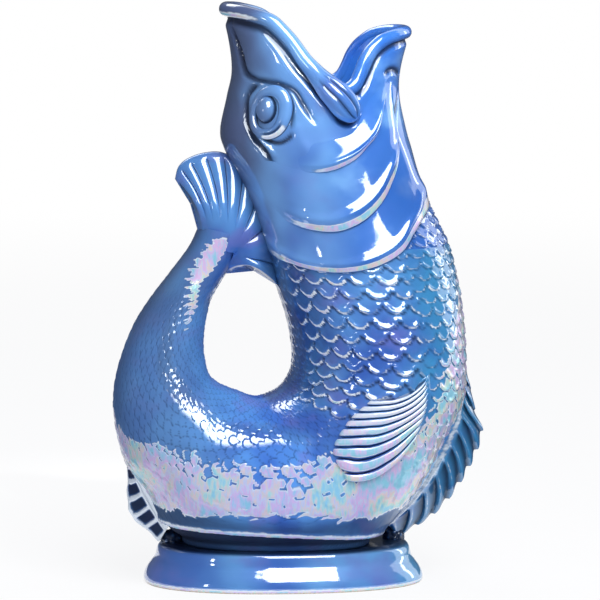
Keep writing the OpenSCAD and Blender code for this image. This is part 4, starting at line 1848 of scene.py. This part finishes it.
@dataclass
class Studio:
    """The floor, the lamps, the dark cards that only reflections see, and the camera."""

    bearing: float = -6.0
    height: float = 6.0
    frame_width: float = 0.243
    distance: float = 2.4
    sensor: float = 36.0
    target: tuple = (0.0007, 0.0, 0.114)
    floor_size: float = 30.0
    strip: float = 0.14
    mouth: tuple = (0.021, 0.02, 0.207)
    room: float = 2.6
    depth: float = 3.0
    camera_gap: float = 0.044
    lift: float = 2 * MM
    dark: float = 0.09
    ambient: float = 0.56
    clip_end: float = 50.0
    floor_patch: float = 0.4
    floor_rough: float = 0.9
    floor_white: float = 0.84
    floor_fade: tuple = (0.1, 3.0)
    light_middle: tuple = (0, 0, 0.11)
    snoot_watts: float = 110.0
    snoot_angle: float = 3.4
    snoot_blend: float = 0.8
    snoot_soft: float = 0.04
    snoot_bearing: float = 14.0
    snoot_height: float = 36.0
    snoot_away: float = 1.3
    boxes: tuple[Lamp, ...] = (
        Lamp("key_box", 13, 48, 1.2, 0.68, 0.86, 6.2),
        Lamp("left_spot", -47, 10, 1.3, 0.08, 0.2, 8.0),
        Lamp("right_strip", 116, 12, 1.3, 0.14, 0.6, 3.4),
        Lamp("back_box", 205, 45, 1.5, 0.7, 0.5, 3.0),
    )

    @staticmethod
    def _hang(
        name: str, data: bpy.types.ID, middle: tuple, bearing: float, height: float, away: float
    ) -> bpy.types.Object:
        """Put a lamp or the camera where it looks at a place.

        Args:
            name: its name.
            data: what it is.
            middle: the place that it looks at.
            bearing: degrees round the jug from its front.
            height: degrees up from the floor.
            away: the distance from the place.

        Returns:
            The lamp or the camera.
        """
        turn, lift = math.radians(bearing), math.radians(height)
        flat = math.cos(lift)
        out = Vector((math.sin(turn) * flat, -math.cos(turn) * flat, math.sin(lift)))
        hung = bpy.data.objects.new(name, data)
        bpy.context.scene.collection.objects.link(hung)
        hung.location = Vector(middle) + out * away
        hung.rotation_euler = (-out).to_track_quat("-Z", "Y").to_euler()
        return hung

    def camera(self) -> None:
        """Place the camera at the photograph's angle."""
        data = bpy.data.cameras.new("camera")
        data.sensor_width = self.sensor
        data.lens = self.sensor * self.distance / self.frame_width
        data.clip_end = self.clip_end
        place = (self.target, self.bearing, self.height, self.distance)
        bpy.context.scene.camera = self._hang("camera", data, *place)

    def lamps(self) -> None:
        """Hang the soft boxes, and a narrow lamp that lights the inside of the mouth."""
        for box in self.boxes:
            data = bpy.data.lights.new(box.name, "AREA")
            data.shape = "RECTANGLE"
            data.size = box.width
            data.size_y = box.tall
            data.energy = box.glow * math.pi * box.width * box.tall
            place = (self.light_middle, box.bearing, box.height, box.away)
            self._hang(box.name, data, *place).visible_camera = False
        data = bpy.data.lights.new("mouth_snoot", "SPOT")
        data.energy = self.snoot_watts
        data.spot_size = math.radians(self.snoot_angle)
        data.spot_blend = self.snoot_blend
        data.shadow_soft_size = self.snoot_soft
        place = (self.mouth, self.snoot_bearing, self.snoot_height, self.snoot_away)
        self._hang("mouth_snoot", data, *place)

    def cards(self) -> None:
        """Stand dark cards where the dim room is, for reflections alone."""
        kiln = Kiln(bpy.data.materials.new("dim_room"))
        colour = (self.dark * 0.85, self.dark, self.dark * 1.3, 1.0)
        dim = kiln.end(kiln.add("ShaderNodeEmission", Color=colour, Strength=1.0))
        size, strip, back = self.room, self.strip, self.depth
        middle, aside = size / 2, size / 2 + strip / 2
        beside = size - strip
        behind = (back - 0.1) / 2
        front = (2 * size, size - self.camera_gap)
        near = -middle - self.camera_gap / 2
        cards = [
            ("front_card", (0, -size, middle), (90, 0), (2 * size, size)),
            ("left_card", (-size, 0.2, middle), (90, 90), (2 * size + 0.4, size)),
            ("right_card", (size, -size * 0.42, middle), (90, 90), (size * 1.16, size)),
            ("back_high_card", (0, back, middle + 0.1), (90, 0), (2 * strip, size - 0.2)),
            ("ceiling_card", (0, -size / 3, size), (0, 0), (2 * size, size * 1.6)),
            ("near_card", (0, near, self.lift), (0, 0), front),
        ]
        for side, x in (("left", -aside), ("right", aside)):
            cards.append((f"back_{side}_card", (x, back, middle), (90, 0), (beside, size)))
            cards.append((f"{side}_floor_card", (x, behind, self.lift), (0, 0), (beside, back)))
        for name, place, (tilt, turn), (width, tall) in cards:
            Bench.deselect()
            bpy.ops.mesh.primitive_plane_add(size=1, location=place)
            card = bpy.context.object
            card.name = name
            card.scale = (width, tall, 1)
            card.rotation_euler = (math.radians(tilt), 0, math.radians(turn))
            bpy.ops.object.transform_apply(location=True, rotation=True, scale=True)
            card.data.materials.append(dim)
            card.visible_camera = False
            card.visible_diffuse = False
            card.visible_shadow = False
            card.visible_transmission = False

    def floor(self) -> None:
        """Lay the pale floor, which keeps the jug's shadow."""
        kiln = Kiln(bpy.data.materials.new("pale_floor"))
        colour = kiln.mix(kiln.noise(self.floor_patch), tint(246, 247, 250), tint(250, 250, 252))
        matt = kiln.add("ShaderNodeBsdfPrincipled", Base_Color=colour, Roughness=self.floor_rough)
        white = kiln.add("ShaderNodeEmission", Color=(1, 1, 1, 1), Strength=1.0)
        x, y = kiln.along(0), kiln.along(1)
        away = (x * x + y * y).step(*self.floor_fade)
        Bench.deselect()
        bpy.ops.mesh.primitive_plane_add(size=self.floor_size)
        floor = bpy.context.object
        floor.name = "floor"
        share = self.floor_white + (1 - self.floor_white) * away
        shown = kiln.both(kiln.seen() * share, matt, white)
        floor.data.materials.append(kiln.end(shown))

    def world(self) -> None:
        """Light the room plainly and show it white to the camera and to reflections."""
        kiln = Kiln(bpy.data.worlds.new("studio"))
        pale = tint(226, 230, 240)
        room = kiln.add("ShaderNodeBackground", Color=pale, Strength=self.ambient)
        white = kiln.add("ShaderNodeBackground", Color=(1, 1, 1, 1), Strength=1.0)
        bpy.context.scene.world = kiln.end(kiln.both(kiln.seen(), room, white))


HEAD_LUSTRE = LustreGlaze(
    "head_lustre", deep=tint(54, 98, 196), fresh=tint(120, 180, 246), fresh_from=0.22,
    violet_share=0.2, teal=tint(34, 112, 214), front_from=4 * MM, front_to=24 * MM,
    rear=tint(80, 92, 132), rear_from=-6 * MM, rear_to=-22 * MM, rear_share=0.9,
    patch=34 * MM, wave=10 * MM, ripple=0.5,
)  # fmt: skip
SCALE_LUSTRE = LustreGlaze("scale_lustre")
FIN_LUSTRE = LustreGlaze("fin_lustre", rear_share=0.3)
FOOT_LUSTRE = LustreGlaze(
    "foot_lustre", deep=tint(60, 114, 206), fresh=tint(108, 176, 240), rear_share=0.2,
    patch=40 * MM,
)  # fmt: skip
KEEL_FINS = (
    KeelFin(
        "belly_fin",
        ((11, 0), (11.45, 0.09), (12.17, 0.41), (12.59, 0.82), (12.81, 0.94), (13.28, 1),
         (13.8, 0.99), (14.26, 0.95), (14.74, 0.81), (15.05, 0.64), (15.35, 0.5)),
        15.7 * MM, 11, 0.9, False, (39 * MM, 0.0, 17 * MM), (4.6 * MM, 4.4 * MM, 4.8 * MM),
    ),
    KeelFin(
        "anal_fin",
        ((19.1, 0.55), (19.4, 0.63), (19.8, 0.98), (20.05, 1), (20.2, 0.8), (20.4, 0.56),
         (20.53, 0.3), (20.8, 0)),
        10.6 * MM, 5, 0.2, True, (-51.5 * MM, 0.0, 17 * MM), (4.8 * MM, 4.6 * MM, 4.6 * MM),
    ),
)  # fmt: skip
FACE_PLATES = {
    "jaw_plate": FacePlate(
        "left_jaw_fold", JAW_PLATE_SHARES, 2.2 * MM, 0.25, 0.3, bright_from=13 * MM
    ),
    "cheek_plate": FacePlate("left_cheek_fold", CHEEK_PLATE_SHARES, 2.2 * MM, 0.2, 0.25),
    "gill_cover": FacePlate("left_gill_fold", GILL_COVER_SHARES, 2.0 * MM, 0.12, 0.2, 190),
}


def build() -> None:
    """Build the room, and every piece of the jug in it."""
    bpy.context.scene.view_settings.view_transform = "Standard"
    studio = Studio()
    for make in (studio.camera, studio.lamps, studio.world, studio.floor, studio.cards):
        make()
    lustres = (HEAD_LUSTRE, SCALE_LUSTRE, FIN_LUSTRE, FOOT_LUSTRE)
    head, scale, fin, plinth = (
        (lustre.fire(), lustre.name.replace("lustre", "glaze")) for lustre in lustres
    )
    clay = BareClay("bare_clay").fire()

    shells, lips, eyes = Shells(), Lips(), Eyes()
    dress(shells.body(), *scale, "body_shell")
    dress(shells.tail(), *scale, "tail_shell")
    dress(shells.head(), *head, "head_shell")
    dress(lips.upper(), *head, "upper_lip")
    dress(lips.lower(), *head, "lower_lip")

    pairs = [(eyes.ball(), "eye", head), (eyes.ring(), "eye_ring", head)]
    pairs += [(plate.make(), node, head) for node, plate in FACE_PLATES.items()]
    pairs.append((PectoralFin().make(), "pectoral_fin", fin))
    for piece, node, finish in pairs:
        other = Bench.mirrored(piece, piece.name.replace("left", "right"))
        dress(piece, *finish, "left_" + node)
        dress(other, *finish, "right_" + node)

    for keel in KEEL_FINS:
        dress(keel.make(), *fin, keel.name)
        dress(keel.tuft(), *fin, keel.name)
    dress(TailFin().make(), *fin, "tail_fin")

    foot = Foot()
    foot.glaze(dress(foot.make(clay), *plinth, "foot"))


def main() -> None:
    """Build the jug."""
    logging.basicConfig(level=logging.INFO, format="%(name)s: %(message)s")
    build()


if __name__ == "__main__":
    main()
